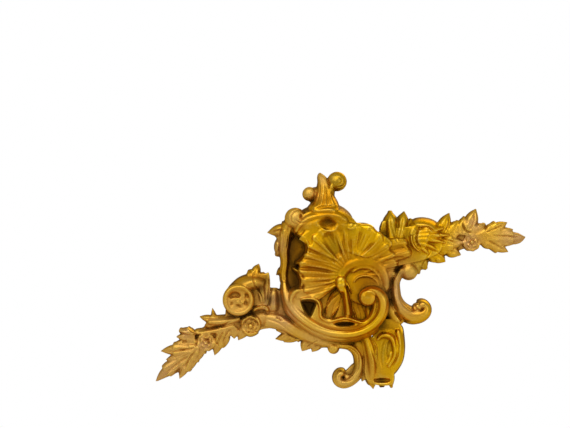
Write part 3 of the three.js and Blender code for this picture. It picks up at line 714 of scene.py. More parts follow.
def hood():
    # the sheet under the hood, which the flutes run up to, and the rim of the shell
    return [
        ribbon([(-46, 54, 7, 26), (-34, 60, 12, 28.8), (-18, 63, 14, 29.8), (-4, 60, 12, 28.8),
                (8, 55, 7, 27.6)], domed(3, 0.7)),
        ribbon([(-49, 52, 3, 24), (-42, 48.6, 4.6, 27.6), (-37, 41, 5, 29), (-37.4, 32, 4.6, 28.4),
                (-43, 25, 4, 26.4), (-50, 21, 3, 23.4)], full),
        ribbon([(-53, 18, 2.4, 22), (-46.6, 13, 4, 25), (-43, 5, 4.4, 26), (-44.4, -3, 3.6, 25)],
               full),
        ground([(-57, 50), (-48, 55), (-34, 50), (-34, 24), (-40, 20), (-38, 10), (-38, -8), (-54, -8),
                (-58, 20)], 10.5),
        ground([(-46, 46), (-38, 56), (-24, 54), (-28, 40), (-36, 32), (-38, 40)], 27),
        ground([(-49, -3), (-38, -4), (-34, -10), (-40, -13), (-48, -12)], 23),
        ribbon([(0, 57, 4, 25), (12, 57.2, 5, 25), (22, 56.6, 5, 25), (30, 51, 4, 24)], soft),
    ]


def leftFrame():
    # two leaves and a band beside a deep cavity
    return [
        ribbon([(-53, 64, 8, 22), (-59, 52, 7.4, 20), (-60.8, 38, 6.2, 18), (-60, 23, 4.8, 16),
                (-61.4, 11, 4.6, 15), (-60.6, 1, 4.4, 15)], strands(2, 0.06)),
        leaf([-50, 59], [-77.7, 52.4], 7.6, [20, 16, 7], belly=0.5, bend=0.02, teeth=1),
        leaf([-55, 53], [-67.2, 28.2], 8.4, [18, 16, 9], belly=0.45, tip=0.4, bend=-0.09, teeth=1),
        leaf([-60, 17], [-69, 9.6], 4.1, [13, 11, 6], section=ridge),
    ]


def boss():
    # a broad ring with two inner arcs about a shallow hollow
    return [
        turned((20, 2), [(24, 14), (21, 19), (12, 20.6), (0, 20.4)]),
        ribbon([(-4, -1, 6, 22), (-5, 6, 8, 22.8), (-2, 14, 10, 23.4), (5, 20.6, 11, 23.8),
                (16, 23.4, 11.6, 23.8), (27, 22.4, 11, 23.6), (35, 17, 10, 23), (39, 9, 9, 22),
                (40, 0, 8, 20.6), (37.4, -8, 7, 19.6)], domed(3, 0.9)),
        ribbon([(5, 12, 3.4, 22), (15, 17.5, 4.6, 23.4), (25, 16.4, 4.6, 23.2), (32, 10.6, 4, 22.4),
                (35, 3, 3, 21)], soft),
        ribbon([(7, 1, 3, 21.6), (12, 7.6, 4, 22.4), (20, 9.6, 4, 22.6), (28, 7, 3.6, 22),
                (33, 1, 3, 21)], soft),
        knob([-4.6, 4.6], 5.2, 26),
        knob([-4.2, 1], 5.4, 26.4),
        knob([-3.4, -2.4], 4.6, 25.6),
        leaf([1, 4], [6.4, -8.4], 2.4, [23.4, 24.4, 21.6], section=soft, tip=0.5),
    ]


def largeScroll():
    # the scroll that carries the shell and curls up at its right end
    path = [(-60.5, 6, 3.5, 15), (-59.5, -5, 6, 19), (-55.5, -16.4, 8.2, 22), (-49, -25.6, 8.8, 24),
            (-40.5, -33.2, 8.4, 26), (-31, -39.6, 7.8, 27), (-19, -45, 7.4, 28), (-4, -47.8, 6.8, 29),
            (10, -46.8, 6.8, 30), (22, -42, 7.2, 31), (31, -34, 7.8, 33), (36, -24, 8.2, 34),
            (36, -14, 7.8, 35), (31.4, -7.4, 7, 35.4), (24, -5.6, 6, 35), (18.4, -8.4, 5, 34),
            (18.4, -13, 4.4, 33)]
    return [
        ribbon(path, moulded([(0.6, 0.94), (1.7, 1.0)], 0.05)),
        ribbon([(x, y, half + 4.4, height * 0.88) for x, y, half, height in path[3:11]]),
        turned((22, -11.2), [(8.8, 27), (8.5, 31), (7, 33.2), (4, 34.2), (0, 34.6)]),
        ribbon([(28, -9, 3.6, 30), (29.6, -17, 5.4, 30), (28, -26, 5.4, 29), (23.6, -33, 4.4, 27),
                (16, -37.4, 3, 25)], full),
        ribbon([(-41, -5, 3.6, 23), (-49, -6, 6, 25), (-54, -14, 6, 24), (-52, -24, 4, 23)],
               lipped),
        ribbon([(-61, -10, 3, 17), (-57.6, -24, 4.4, 18), (-47, -36, 4.4, 19), (-33, -45.6, 4, 20),
                (-16, -52.6, 3.4, 20), (2, -55, 2.6, 18)], lipped),
    ]


def bowl():
    # the bowl between the boss and the large scroll, with a wavy lip
    return [
        ribbon([(-46, -14, 2.7, 25), (-36, -12.6, 3.2, 26), (-28, -15, 3.6, 26), (-25, -22, 3.6, 25),
                (-24.5, -31, 3.4, 24), (-17, -36, 3.2, 23), (-8, -34, 3, 24), (1, -32.4, 3, 25),
                (10, -35, 3, 25), (19, -37, 2.8, 26), (27, -32, 2.6, 27), (30, -22, 2.4, 28)],
               lipped),
        ground([(-31, -7), (-9, -1), (15, -3), (31, -13), (30, -31), (11, -36), (-9, -35),
                (-24, -31)], 17),
        leaf([-6, -4], [-18, -34], 7.6, [23, 19, 20], section=spoon, root=0.3, tip=0.6),
        ribbon([(-1, -2, 6, 25), (1, -12, 6.6, 25), (2.4, -22, 7.4, 23.6), (3, -32, 9, 22)],
               domed(2, 1.0), ends=0.3),
        leaf([11, -6], [17, -36], 9, [21, 18, 20], section=spoon, root=0.4, tip=0.8),
        leaf([24, -14], [23, -36], 6, [21, 20, 22], section=plain, root=0.4, tip=0.8),
    ]


def frond():
    # springs from the left stem and lies under the large scroll
    return [
        ground([(-63, -15), (-51, -31), (-35, -43), (-13, -50), (15, -47), (11, -58), (-9, -61), (-25, -58),
                (-39, -53), (-53, -47), (-67, -41)], 9),
        ribbon([(-85, -35, 8.8, 13), (-73, -35, 9, 15), (-61, -39, 8.2, 16), (-49, -45.6, 7.2, 17),
                (-35, -52.4, 6.2, 16), (-20, -57, 5.4, 15), (-3, -59.4, 4.6, 14)], strands(2, 0.05)),
        leaf([-48, -44], [-68.8, -46], 5.6, [14, 12, 8], tip=0.15),
        leaf([-46, -46], [-69.6, -54.4], 6.6, [13, 11, 7], tip=0.1, teeth=1, bend=0.04),
        leaf([-41, -49], [-61, -57.6], 5.4, [12, 10, 7], tip=0.1, teeth=1),
        leaf([-33, -50], [-43, -66.6], 6.8, [12, 11, 7], tip=0.1, teeth=1, belly=0.55),
        leaf([-30, -53], [-35.6, -64.6], 4.6, [13, 12, 7], tip=0.15),
        leaf([-22, -52], [-33, -67.4], 6.6, [12, 11, 7], tip=0.1, teeth=1, belly=0.5),
        leaf([-17, -55], [-26, -63], 5, [13, 12, 7], tip=0.2),
        leaf([-11, -56], [-20, -62.4], 5, [13, 12, 8], tip=0.3),
    ]


def lowerScroll():
    # the small scroll below, to the left
    return [
        knob([-11.5, -63], 5.9, 16),
        ribbon([(-12, -60, 3.5, 13), (-4, -60, 4.3, 15), (5, -61.3, 4.9, 16), (11.5, -66.5, 5.5, 17),
                (14.6, -74, 6, 17), (14.6, -83, 6.2, 17), (11, -91, 6, 17), (4.6, -96.6, 5.8, 17),
                (-1.4, -98.6, 5.6, 16), (-6, -96.6, 5.6, 15.6), (-7.4, -92.4, 5.4, 15),
                (-5, -88.4, 5.2, 15), (0.6, -87.4, 4.4, 15)],
               moulded([(0.5, 0.86), (1.3, 1)], 0.12)),
        knob([2.2, -92], 3.2, 13),
        ground([(-7, -89), (1, -86), (9, -79), (13, -87), (7, -97), (-3, -98)], 9),
        ribbon([(11, -53, 7.5, 15), (15, -63, 6.5, 15), (18, -75, 5.5, 14)]),
    ]


def bottomLeaf():
    # the hanging leaf below, to the right, with a hollow between two ridges
    return [
        ground([(15, -49), (33, -45), (53, -47), (58.6, -60), (56.6, -77), (49, -87), (47, -99),
                (29, -99), (20, -91), (19, -71)], 15.6),
        ribbon([(18, -46, 8, 18), (23.4, -59, 9, 20), (26, -71, 9.4, 20), (27, -83, 9, 19),
                (26.6, -94, 7, 16), (25.6, -101, 3.6, 10)], soft),
        ribbon([(30, -47, 8, 17.6), (38, -58, 10, 18), (39.6, -70, 10.4, 17.6), (37, -84, 9, 16.4)], spoon),
        ribbon([(30, -57, 4, 17), (37, -50, 6.4, 19), (45.6, -52, 6.6, 20), (49, -61, 6, 19.4),
                (49, -70, 5.6, 19), (45.6, -77, 5.6, 18.6), (41, -84, 6, 17.6)], soft),
        ribbon([(51, -41, 7.6, 17), (53.4, -51, 6.6, 19), (54, -63, 6.8, 19.4), (52.4, -74, 6.8, 18.4),
                (48, -82.4, 6.6, 16.6), (43, -89, 6, 15)], soft),
        ribbon([(24, -86, 5, 16), (34, -89, 6, 15.6), (45, -86, 5, 16)], soft),
        leaf([26, -86], [28.4, -104.4], 6, [15, 13, 8], tip=0.15),
        leaf([36, -84], [37.4, -103], 7, [13, 12, 8], tip=0.4, section=spoon),
        leaf([43, -84], [47, -103.4], 5.4, [14, 12, 8], tip=0.3),
        leaf([24, -83], [17, -97], 4.5, [15, 13, 8], tip=0.15),
    ]


def rightScroll():
    # the scroll to the right of the shell
    return [
        knob([63.5, 13.8], 9.1, 19),
        ribbon([(59, 18, 5, 17), (54, 11, 5, 18), (50.4, 3, 5.2, 18), (50.2, -5, 5.6, 18),
                (51.4, -14, 6.2, 19), (56, -23.5, 8, 20), (64.6, -30, 9.2, 20), (73, -30.4, 8.8, 20),
                (79, -27.6, 7.6, 19.6), (80.6, -23, 6.4, 19), (77.6, -19.4, 5.8, 19),
                (72, -18.8, 4.8, 18)], domed(2.4, 0.5)),
        knob([72, -22.5], 4.4, 20),
        ground([(28, -44), (38, -34), (50, -36), (57, -42), (55, -51), (30, -50)], 15),
        ribbon([(36, -17, 7, 17), (44, -24, 8, 17), (51, -32, 8.5, 17), (57, -39, 7.5, 17)]),
        leaf([55, -21], [44.5, -26.5], 4.1, [16, 15, 10]),
        ribbon([(47, 26, 6, 20), (46, 12, 5, 14), (44, -4, 5, 12), (43, -16, 6, 14)]),
    ]


def horn():
    # a roundel with curved hollows in its face, the horn that it closes, and leaves behind
    return [
        turned([-106.4, -14.6], [(15.9, 14), (15.7, 19), (15, 21.4), (13.4, 22.6), (12, 22.2), (10.8, 21),
                                 (9, 20.4), (0, 20.8)]),
        ribbon([(-112, -11, 9.4, 15), (-106.6, -6, 10.4, 18), (-100.6, -1, 10.4, 20.4),
                (-93.4, 2, 9.6, 21), (-86, 2.2, 9.2, 19.4), (-79.4, 1, 8.6, 16.6)],
               domed(2, 0.6), ends=0.2),
        leaf([-91.6, 8], [-86.2, 21], 6, [16.6, 15.6, 8], root=0.9, teeth=1, tip=0.1),
        leaf([-94, 6], [-97, 15], 3.8, [19, 16, 9], tip=0.2),
        leaf([-88, 6], [-80.8, 12.4], 3.6, [18, 15, 10], tip=0.3),
        ground([(-92, 11), (-80, 11.4), (-76, 11.4), (-75, -4), (-79, -22), (-94, -18)], 14),
        ribbon([(-84, 6, 7, 16), (-83, -8, 8, 16.6), (-82, -22, 8, 15)], full),
        ribbon([(-71.4, -3, 6.1, 12), (-71.6, -15, 8.5, 13), (-72.4, -29, 9.5, 14)], full),
        ribbon([(-93, -27, 3.4, 16), (-88, -22.6, 4.4, 18), (-80, -22, 4.4, 17.6), (-76, -27, 3.4, 15.6)],
               soft),
        knob([-94.4, -41.4], 10, 13),
        ribbon([(-103, -41, 3, 15.4), (-101, -34.6, 3.8, 17.4), (-94, -31.6, 4.2, 18), (-87, -35, 4, 17),
                (-85, -42, 3, 15.4)], soft),
        ribbon([(-102, -45, 3, 15), (-95, -49, 3.6, 15.6), (-87, -46, 3, 15)], soft),
        leaf([-99, -41], [-106.8, -55.6], 6, [15, 13, 7], tip=0.15),
        ribbon([(-75, -31, 11.5, 14), (-91, -34, 12.5, 13), (-105, -36, 11.5, 13)], full),
        ground([(-119, -17), (-111, 1), (-93, 11), (-78, 9), (-74.5, -5), (-65, -6), (-58, -21), (-49, -37),
                (-67, -42), (-87, -45), (-107, -49), (-119, -41)], 9),
        knob((-106.6, -16.4), 2.6, 21.8),
        knob((-112, -22), 2, 21.2),
        knob((-101.6, -16.6), 2, 21.4),
    ]


def leftArm():
    # a stem with a blossom at its middle and toothed leaves along both sides
    return [
        ribbon([(-103, -37, 11.5, 12), (-119, -41, 11, 11), (-133, -49, 10.5, 10), (-145, -58.4, 10.6, 9),
                (-156, -69, 9.6, 8), (-167, -80, 7, 7), (-179, -88.6, 4.2, 6), (-189.4, -96.6, 0.8, 4.5)]),
        leaf([-131, -34], [-133, -23.4], 2.8, [12, 11, 6], belly=0.2, section=ridge, tip=0.1),
        ribbon([(-104, -33, 5, 14), (-116, -36, 6.6, 15.4), (-128, -37, 6.6, 15), (-138, -37, 5, 13)],
               soft, ends=0.3),
        leaf([-127, -36.6], [-145.6, -32], 5.2, [14.6, 13, 8], belly=0.4, tip=0.12, teeth=1, root=1),
        leaf([-130, -38], [-140.6, -41.4], 5, [14, 12, 8], belly=0.4, tip=0.3),
        ribbon([(-108, -40, 5, 14), (-122, -44, 5.6, 14), (-136, -47, 5, 13), (-151, -47.6, 3.4, 12)],
               soft),
        leaf([-151, -49], [-166.2, -45.4], 4.8, [12, 13.4, 11], tip=0.6, section=soft),
        leaf([-153, -50], [-158.4, -43], 4.4, [12, 13.4, 11], tip=0.7, section=soft),
        leaf([-150, -53], [-168.8, -52], 6, [12, 12.4, 9], tip=0.15, teeth=1),
        leaf([-146, -59], [-172, -59], 7, [12.4, 12, 8], tip=0.15, teeth=1),
        leaf([-146, -65], [-184.6, -66.6], 8.2, [15, 13, 6], belly=0.5, teeth=2, tip=0.05, bend=-0.02),
        leaf([-156, -71], [-179.4, -75], 6, [12, 11, 7], belly=0.45, teeth=1, tip=0.1),
        leaf([-156, -72], [-189.6, -96.8], 7.6, [12.6, 11, 5], belly=0.5, teeth=2, tip=0.08, bend=-0.05),
        leaf([-150, -66], [-165.8, -94.4], 7.4, [14, 12.6, 6], belly=0.5, teeth=2, tip=0.05, bend=-0.03),
        leaf([-148, -68], [-156.6, -87], 5, [12, 11, 7], tip=0.1, teeth=1),
        leaf([-142, -60], [-148.8, -77.4], 5.6, [13.6, 12.6, 7], tip=0.1, teeth=1),
        leaf([-122, -43], [-130.6, -70.8], 7.4, [15.4, 13.6, 6], teeth=2, tip=0.08, belly=0.5),
        leaf([-118, -42], [-120, -62.4], 5, [14, 12.6, 7], teeth=1, tip=0.08, belly=0.5),
        leaf([-111, -42], [-111, -54], 5.6, [14, 12.6, 8], tip=0.2),
    ]


def rightArm():
    # a stem of overlapping leaves with a rose at its root and a bud along it
    return [
        ribbon([(39, 37, 17.5, 16), (55, 39, 19.5, 14), (71, 42, 19.5, 13), (91, 44, 17.5, 12),
                (111, 47.6, 14, 10), (129, 50, 10.5, 9), (145, 48.4, 8, 8), (161, 47, 7, 7),
                (174, 46.6, 5.5, 6), (181, 47.6, 0.8, 4)]),
        leaf([47, 42], [45.4, 74.6], 8.4, [20, 17.6, 9], root=0.95, belly=0.6, tip=0.3,
             section=domed(2.4, 0.6)),
        leaf([54, 44], [59.6, 73.6], 8.6, [20, 17.4, 9], teeth=1, root=0.8, belly=0.55, tip=0.15,
             section=domed(2.4, 0.6)),
        leaf([40, 50], [37.4, 63.6], 4.4, [16, 13, 8], tip=0.2),
        leaf([62, 48], [66.4, 66.6], 6, [17, 14, 9], tip=0.3),
        ribbon([(30, 36, 7, 25), (43, 40, 9, 24), (55, 42, 8, 22), (65, 42, 5, 20)], strands(3, 0.05)),
        ribbon([(32, 27, 6, 24), (46, 30, 8, 23.4), (58, 32, 8, 22), (68, 35, 6, 20)], strands(3, 0.05)),
        ribbon([(48, 50, 4, 20), (52, 44, 6, 22), (60, 38, 6, 21), (66, 30, 4, 19)], soft),
        leaf([93, 46], [104.8, 72], 8, [17.4, 15, 8], teeth=1, belly=0.5, tip=0.1),
        leaf([87, 50], [93, 63], 6, [17, 14, 9], tip=0.15),
        leaf([92, 52], [98.4, 65.4], 5.4, [17, 14, 9], tip=0.15),
        leaf([104, 47], [113.6, 64.6], 9, [15.4, 14, 9], tip=0.2, teeth=1),
        leaf([84, 41], [119, 43], 10.6, [19.4, 17, 11.6], teeth=2, belly=0.5, tip=0.25, curl=1),
        leaf([90, 46], [113, 51.6], 7, [18.6, 16, 11], teeth=1, belly=0.5, tip=0.2),
        leaf([123, 49], [131.6, 76.2], 8.6, [14.4, 13, 7], bend=0.03, teeth=1, belly=0.5, tip=0.06),
        leaf([117, 50], [119.6, 69], 7, [14, 13, 8], tip=0.15),
        leaf([128, 50], [140.6, 61.6], 6.6, [13, 12, 8], tip=0.3),
        leaf([134, 48], [163, 62.6], 7, [13.4, 11.6, 6], belly=0.6, tip=0.1, teeth=2),
        leaf([142, 51], [149.8, 62.8], 5, [13, 12, 7], tip=0.1),
        leaf([142, 48], [181.6, 47.8], 7.8, [13, 11, 4], belly=0.5, teeth=2, tip=0.05),
        leaf([154, 50], [169, 55.8], 5.4, [11, 10, 6], tip=0.1),
        leaf([154, 46], [168, 40], 5.4, [11, 10, 6], tip=0.1),
        leaf([136, 46], [164, 33], 6.2, [13, 11, 6], belly=0.6, tip=0.1, teeth=2),
        leaf([138, 43], [148.6, 36], 4.2, [12, 11, 7], tip=0.1),
        knob([125.6, 42], 8.2, 12),
        leaf([92, 40], [116, 30], 7.6, [16.6, 14, 9], belly=0.6, tip=0.2, teeth=1),
        leaf([82, 36], [100.8, 23], 7.6, [17.6, 15, 8], belly=0.6, tip=0.1, teeth=1),
        leaf([84, 32], [92.4, 22], 5.6, [17, 15, 8], tip=0.15),
        leaf([67, 34], [82, 15.6], 9, [18.6, 15, 8], belly=0.6, tip=0.25, teeth=1),
        leaf([61, 31], [74.8, 11], 9, [19.6, 16, 9], belly=0.6, tip=0.2, teeth=1),
    ]


# the casting: every form is fused into one skin, smoothed and cut flat behind

casting = {
    "voxel": 0.46,         # mm, the grain that the skin is fused at
    "softening": 9,        # passes that round the relief before it is chased
    "finish": 3,           # passes that take the burr off the chased lines
    "triangles": 196000,
    "frontFrom": -0.003,   # m, what lies behind this is never chased
    "webTo": -0.004,       # m, the thinnest web that is left
    "crease": 50,          # degrees, sharper edges aren't shaded smooth
    "pinHole": 1.7,        # mm across
    "pinAt": (27, -51),
}

chasing = {
    # chased lines: half width in steps, depth in mm (a raised line is below 0), route
    "shell": [
        (2.6, 1.6, [(-49, 17), (-38, 17), (-25, 16), (-10, 13)]),
        (3.0, 2.0, [(-43, 38), (-30, 33), (-18, 27), (-8, 23)]),
        (7.4, 3.4, [(-20, 53), (-14, 41), (-6, 27)]),
        (2.0, 1.0, [(-34, 46), (-22, 36), (-10, 26)]),
        (2.0, 1.1, [(-11, 51), (-7, 40), (-3, 28)]),
        (1.4, 0.7, [(-2, 54), (-2, 41), (1, 30)]),
        (1.8, 1.0, [(5, 48), (5, 38), (6, 30)]),
        (1.3, 0.6, [(12, 52), (10, 41), (9, 31)]),
        (1.3, 0.6, [(19, 52), (15, 41), (12, 31)]),
        (2.4, 1.3, [(29, 44), (21, 36), (14, 30)]),
        (1.3, 0.6, [(36, 46), (27, 37), (20, 31)]),
        (2.2, 1.1, [(16, 56), (13, 44), (11, 32)]),
        (2.0, 1.0, [(25, 52), (19, 41), (14, 32)]),
        (1.0, -0.5, [(22, 54), (16, 42), (12, 33)]),
        (1.0, -0.5, [(32, 45), (24, 36), (17, 30)]),
        (1.0, -0.5, [(1, 54), (2, 42), (4, 31)]),
        (1.5, 0.7, [(43, 39), (33, 32), (25, 28)]),
        (1.5, 0.7, [(52, 34), (40, 29), (32, 27)]),
        (2.0, 1.0, [(60, 28), (50, 27), (38, 24)]),
        (1.3, 0.6, [(-47, 9), (-30, 9), (-12, 8)]),
        (1.6, 0.8, [(-46, 3), (-28, 4), (-12, 5)]),
        (1.8, 1.0, [(-44, -4), (-28, -1), (-12, 2)]),
        (1.3, 0.7, [(-40, -9), (-25, -6), (-12, -2)]),
        (1.3, 0.7, [(-45, 27), (-30, 25), (-12, 20)]),
        (1.3, 0.6, [(-41, 32), (-28, 29), (-12, 22)]),
        (3.0, 1.2, [(-31, 76), (-17, 78), (-4, 76)]),
        (1.0, 0.9, [(-9, 98), (-3, 99), (0, 104), (-3, 109), (-8, 111)]),
        (0.9, 0.8, [(-8, 101), (-4.6, 102), (-4, 105), (-7, 107.6)]),
        (1.4, 1.0, [(-17, 96), (-16, 101), (-18, 106)]),
        (1.2, 1.0, [(-31, 95), (-29, 91), (-31, 87)]),
        (1.1, 1.0, [(-43, 75), (-50, 74), (-54, 69), (-53, 63), (-47, 61)]),
        (3.4, -0.8, [(-46, 46), (-36, 53), (-25, 55)]),
        (1.3, 0.9, [(-30, 94), (-32, 86), (-38, 77)]),
        (1.2, 0.8, [(-25, 102), (-26, 90), (-30, 77)]),
        (1.2, 0.8, [(-19, 100), (-18, 89), (-18, 78)]),
        (1.2, 0.8, [(-14, 94), (-11, 86), (-4, 77)]),
        (1.0, -0.7, [(-22, 104), (-22, 92), (-25, 78)]),
        (1.0, -0.7, [(-15, 97), (-14, 87), (-10, 78)]),
        (1.6, -0.9, [(-26, 58), (-18, 54.6), (-11, 55), (-7, 60)]),
        (1.4, -0.8, [(1, 58), (5, 56), (10, 58)]),
    ],
    "frame": [
        (1.3, 0.9, [(-64, 58), (-62, 45), (-64, 30)]),
        (1.0, 0.7, [(-58, 60), (-57, 48), (-59, 34)]),
        (1.2, 0.9, [(-50, 66), (-44, 62), (-38, 64)]),
        (1.2, 1.0, [(-74, 53), (-66, 55), (-58, 56)]),
        (1.2, 1.0, [(-69, 46), (-66, 40), (-67, 32)]),
    ],
    "scroll": [
        (1.5, 1.5, [(-62, -14), (-55, -27), (-44, -37), (-31, -45), (-14, -51), (2, -54)]),
        (1.0, 0.6, [(-58, 0), (-57, -12), (-49, -26), (-36, -37), (-20, -44), (0, -46), (20, -41),
                    (33, -30), (38, -18), (36, -8)]),
        (1.4, -0.9, [(26, -47), (36, -38), (42, -25), (43, -11), (39, -1)]),
        (1.2, 1.0, [(24, -46), (34, -37), (40, -25), (41, -11), (36, -3)]),
        (1.3, 1.2, [(14, -11), (16, -5.6), (22, -3.6), (28.4, -6.4), (30, -12), (27.4, -17)]),
    ],
    "bowl": [
        (1.4, 1.6, [(-3, -7), (-5, -17), (-9, -27), (-13, -33)]),
        (1.4, 1.2, [(-5, -7), (-14, -14), (-20, -24), (-20, -32)]),
        (0.8, 0.7, [(-7, -12), (-12, -22), (-15, -32)]),
        (0.8, 0.7, [(10, -14), (14, -24), (16, -34)]),
        (0.8, 0.7, [(16, -18), (19, -26), (21, -34)]),
        (0.8, 0.7, [(6, -12), (7, -24), (8, -34)]),
    ],
    "frond": [
        (1.2, 0.8, [(-80, -33), (-66, -38), (-52, -48), (-38, -56), (-20, -61)]),
        (2.0, 1.4, [(-69, -32), (-65, -33), (-63, -36)]),
        (1.2, 1.2, [(-60, -47), (-52, -52), (-44, -54)]),
        (1.2, 1.2, [(-40, -64), (-33, -58), (-27, -55)]),
    ],
    "bottomLeaf": [
        (1.8, 0.9, [(22, -52), (26, -64), (30, -76), (31, -90)]),
        (1.6, 0.8, [(40, -54), (37, -62), (36, -74), (38, -84)]),
        (1.2, 1.0, [(44, -54), (42, -64), (42, -74)]),
        (1.6, 1.0, [(50, -48), (53, -58), (52, -70), (47, -80)]),
        (2.0, -1.2, [(46, -66), (44, -73), (40, -80)]),
    ],
    "lowerScroll": [
        (1.3, 1.3, [(-2, -61), (7, -63), (13, -70), (13, -82), (9, -90)]),
        (1.2, 1.4, [(10, -89), (5, -95), (-1, -94), (-1, -89)]),
    ],
    "rightScroll": [
        (1.2, 1.0, [(58, 8), (54, 0), (54, -9), (57, -17), (65, -24), (73, -26)]),
        (1.8, 2.4, [(49, -26), (53, -31), (57, -37)]),
        (1.5, 1.6, [(69, -17), (70, -22), (75, -25), (79, -22)]),
    ],
    "rightArm": [
        (1.2, 1.0, [(45, 70), (46, 58), (52, 42)]),
        (1.2, 1.0, [(58, 69), (56, 58), (53, 45)]),
        (1.6, 1.8, [(74, 58), (71, 51), (71, 43), (76, 36)]),
        (1.4, 1.4, [(74, 57), (82, 58), (89, 53)]),
        (1.0, 0.9, [(63, 50), (70, 50)]),
        (1.2, 1.2, [(92, 56), (95, 49), (103, 45), (113, 43)]),
        (1.2, 1.1, [(104, 68), (103, 60), (97, 50)]),
        (1.0, 0.9, [(82, 36), (90, 34), (98, 30), (104, 33)]),
        (1.4, 1.5, [(117, 63), (120, 55), (127, 52)]),
        (1.2, 1.1, [(130, 72), (128, 62), (124, 55)]),
        (1.2, 1.1, [(139, 52), (149, 56), (160, 61)]),
        (1.2, 1.1, [(142, 45), (152, 40), (161, 35)]),
        (1.2, 1.1, [(146, 50), (160, 49), (176, 48)]),
        (1.2, 1.1, [(86, 34), (79, 24), (75, 14)]),
    ],
    "horn": [
        (1.1, 1.1, [(-101, -11), (-99, -14), (-100, -18)]),
        (1.3, -0.9, [(-111, -14.4), (-106, -13.4), (-102.6, -17), (-105, -19)]),
        (1.6, 1.6, [(-76, 8), (-76, -4), (-77, -16)]),
        (1.3, 1.1, [(-92, 10), (-90, 0), (-84, -10), (-82, -20)]),
        (1.6, 1.8, [(-93, -22), (-85, -21), (-77, -24)]),
        (1.2, 1.2, [(-103, -30), (-97, -33), (-91, -31), (-86, -36)]),
    ],
    "leftArm": [
        (1.6, 1.8, [(-113, -35), (-124, -41), (-138, -44), (-150, -48)]),
        (1.1, 0.9, [(-112, -31), (-126, -33), (-140, -34)]),
        (1.0, 0.9, [(-121, -46), (-125, -52), (-130, -62)]),
        (1.0, 0.9, [(-114, -44), (-119, -50), (-122, -58)]),
        (1.2, 1.0, [(-156, -70), (-168, -79), (-182, -91)]),
        (1.2, 1.0, [(-158, -64), (-168, -66), (-178, -67)]),
        (1.2, 1.2, [(-160, -78), (-164, -85), (-166, -90)]),
        (2.0, 1.4, [(-163, -57), (-158, -57)]),
        (1.4, 1.0, [(-150, -62), (-156, -64), (-168, -65)]),
        (1.4, 1.2, [(-148, -64), (-153, -70), (-158, -78), (-162, -84)]),
        (1.4, 1.1, [(-150, -50), (-148, -56), (-150, -62)]),
        (1.2, 1.0, [(-131, -49), (-129, -56), (-126, -61)]),
        (1.0, -0.7, [(-157, -67), (-164, -71), (-174, -75)]),
        (1.0, -0.7, [(-152, -70), (-156, -76), (-158, -84)]),
        (1.0, -0.7, [(-166, -83), (-173, -87), (-182, -93)]),
        (1.0, -0.6, [(-119, -45), (-124, -54), (-127, -63)]),
    ],
}

pockets = [
    # sunk places: outline, depth in mm, width of the sloping edge in steps
    ([(-45, -15), (-38, -15), (-29.4, -17), (-31, -24), (-35.4, -32), (-41, -25)], 13, 2.4),
    ([(-13, -38.4), (-6, -36.6), (2, -36.2), (9.6, -38), (4, -40.4), (-5, -40.6)], 8, 1.6),
    ([(-29, 62), (-25, 67.6), (-18, 70), (-11, 67.6), (-7, 62), (-11, 56.6), (-18, 54.6),
      (-25, 56.8)], 5, 7),
    ([(-45, 64), (-42.6, 68), (-43.6, 72), (-46.4, 69)], 2.4, 2),
    ([(-117, -11), (-113, -6.4), (-107, -6), (-103.6, -9), (-105, -12.4), (-110, -12.6),
      (-114, -14)], 2.6, 2.4),
    ([(-101, -7.4), (-97, -7.6), (-95.8, -12), (-99.4, -13)], 1.9, 1.8),
    ([(-100.6, -15.4), (-97, -15.6), (-97.4, -20), (-101, -20)], 1.5, 1.6),
    ([(-110.4, -19.4), (-107, -22), (-103, -22.8), (-103.6, -20), (-107, -18.6)], 1.6, 1.5),
    ([(-114.4, -16), (-111.4, -16.6), (-112, -20), (-114.8, -19.4)], 1.3, 1.3),
    ([(-142, -59), (-141, -55), (-144, -51.6), (-138.6, -53), (-134, -50.6), (-135.6, -56), (-132.6, -60),
      (-138, -58.6)], 1.8, 2.6),
    ([(28, -93), (36, -92), (45, -93), (44, -97), (36, -98), (29, -97)], 3, 2.4),
]

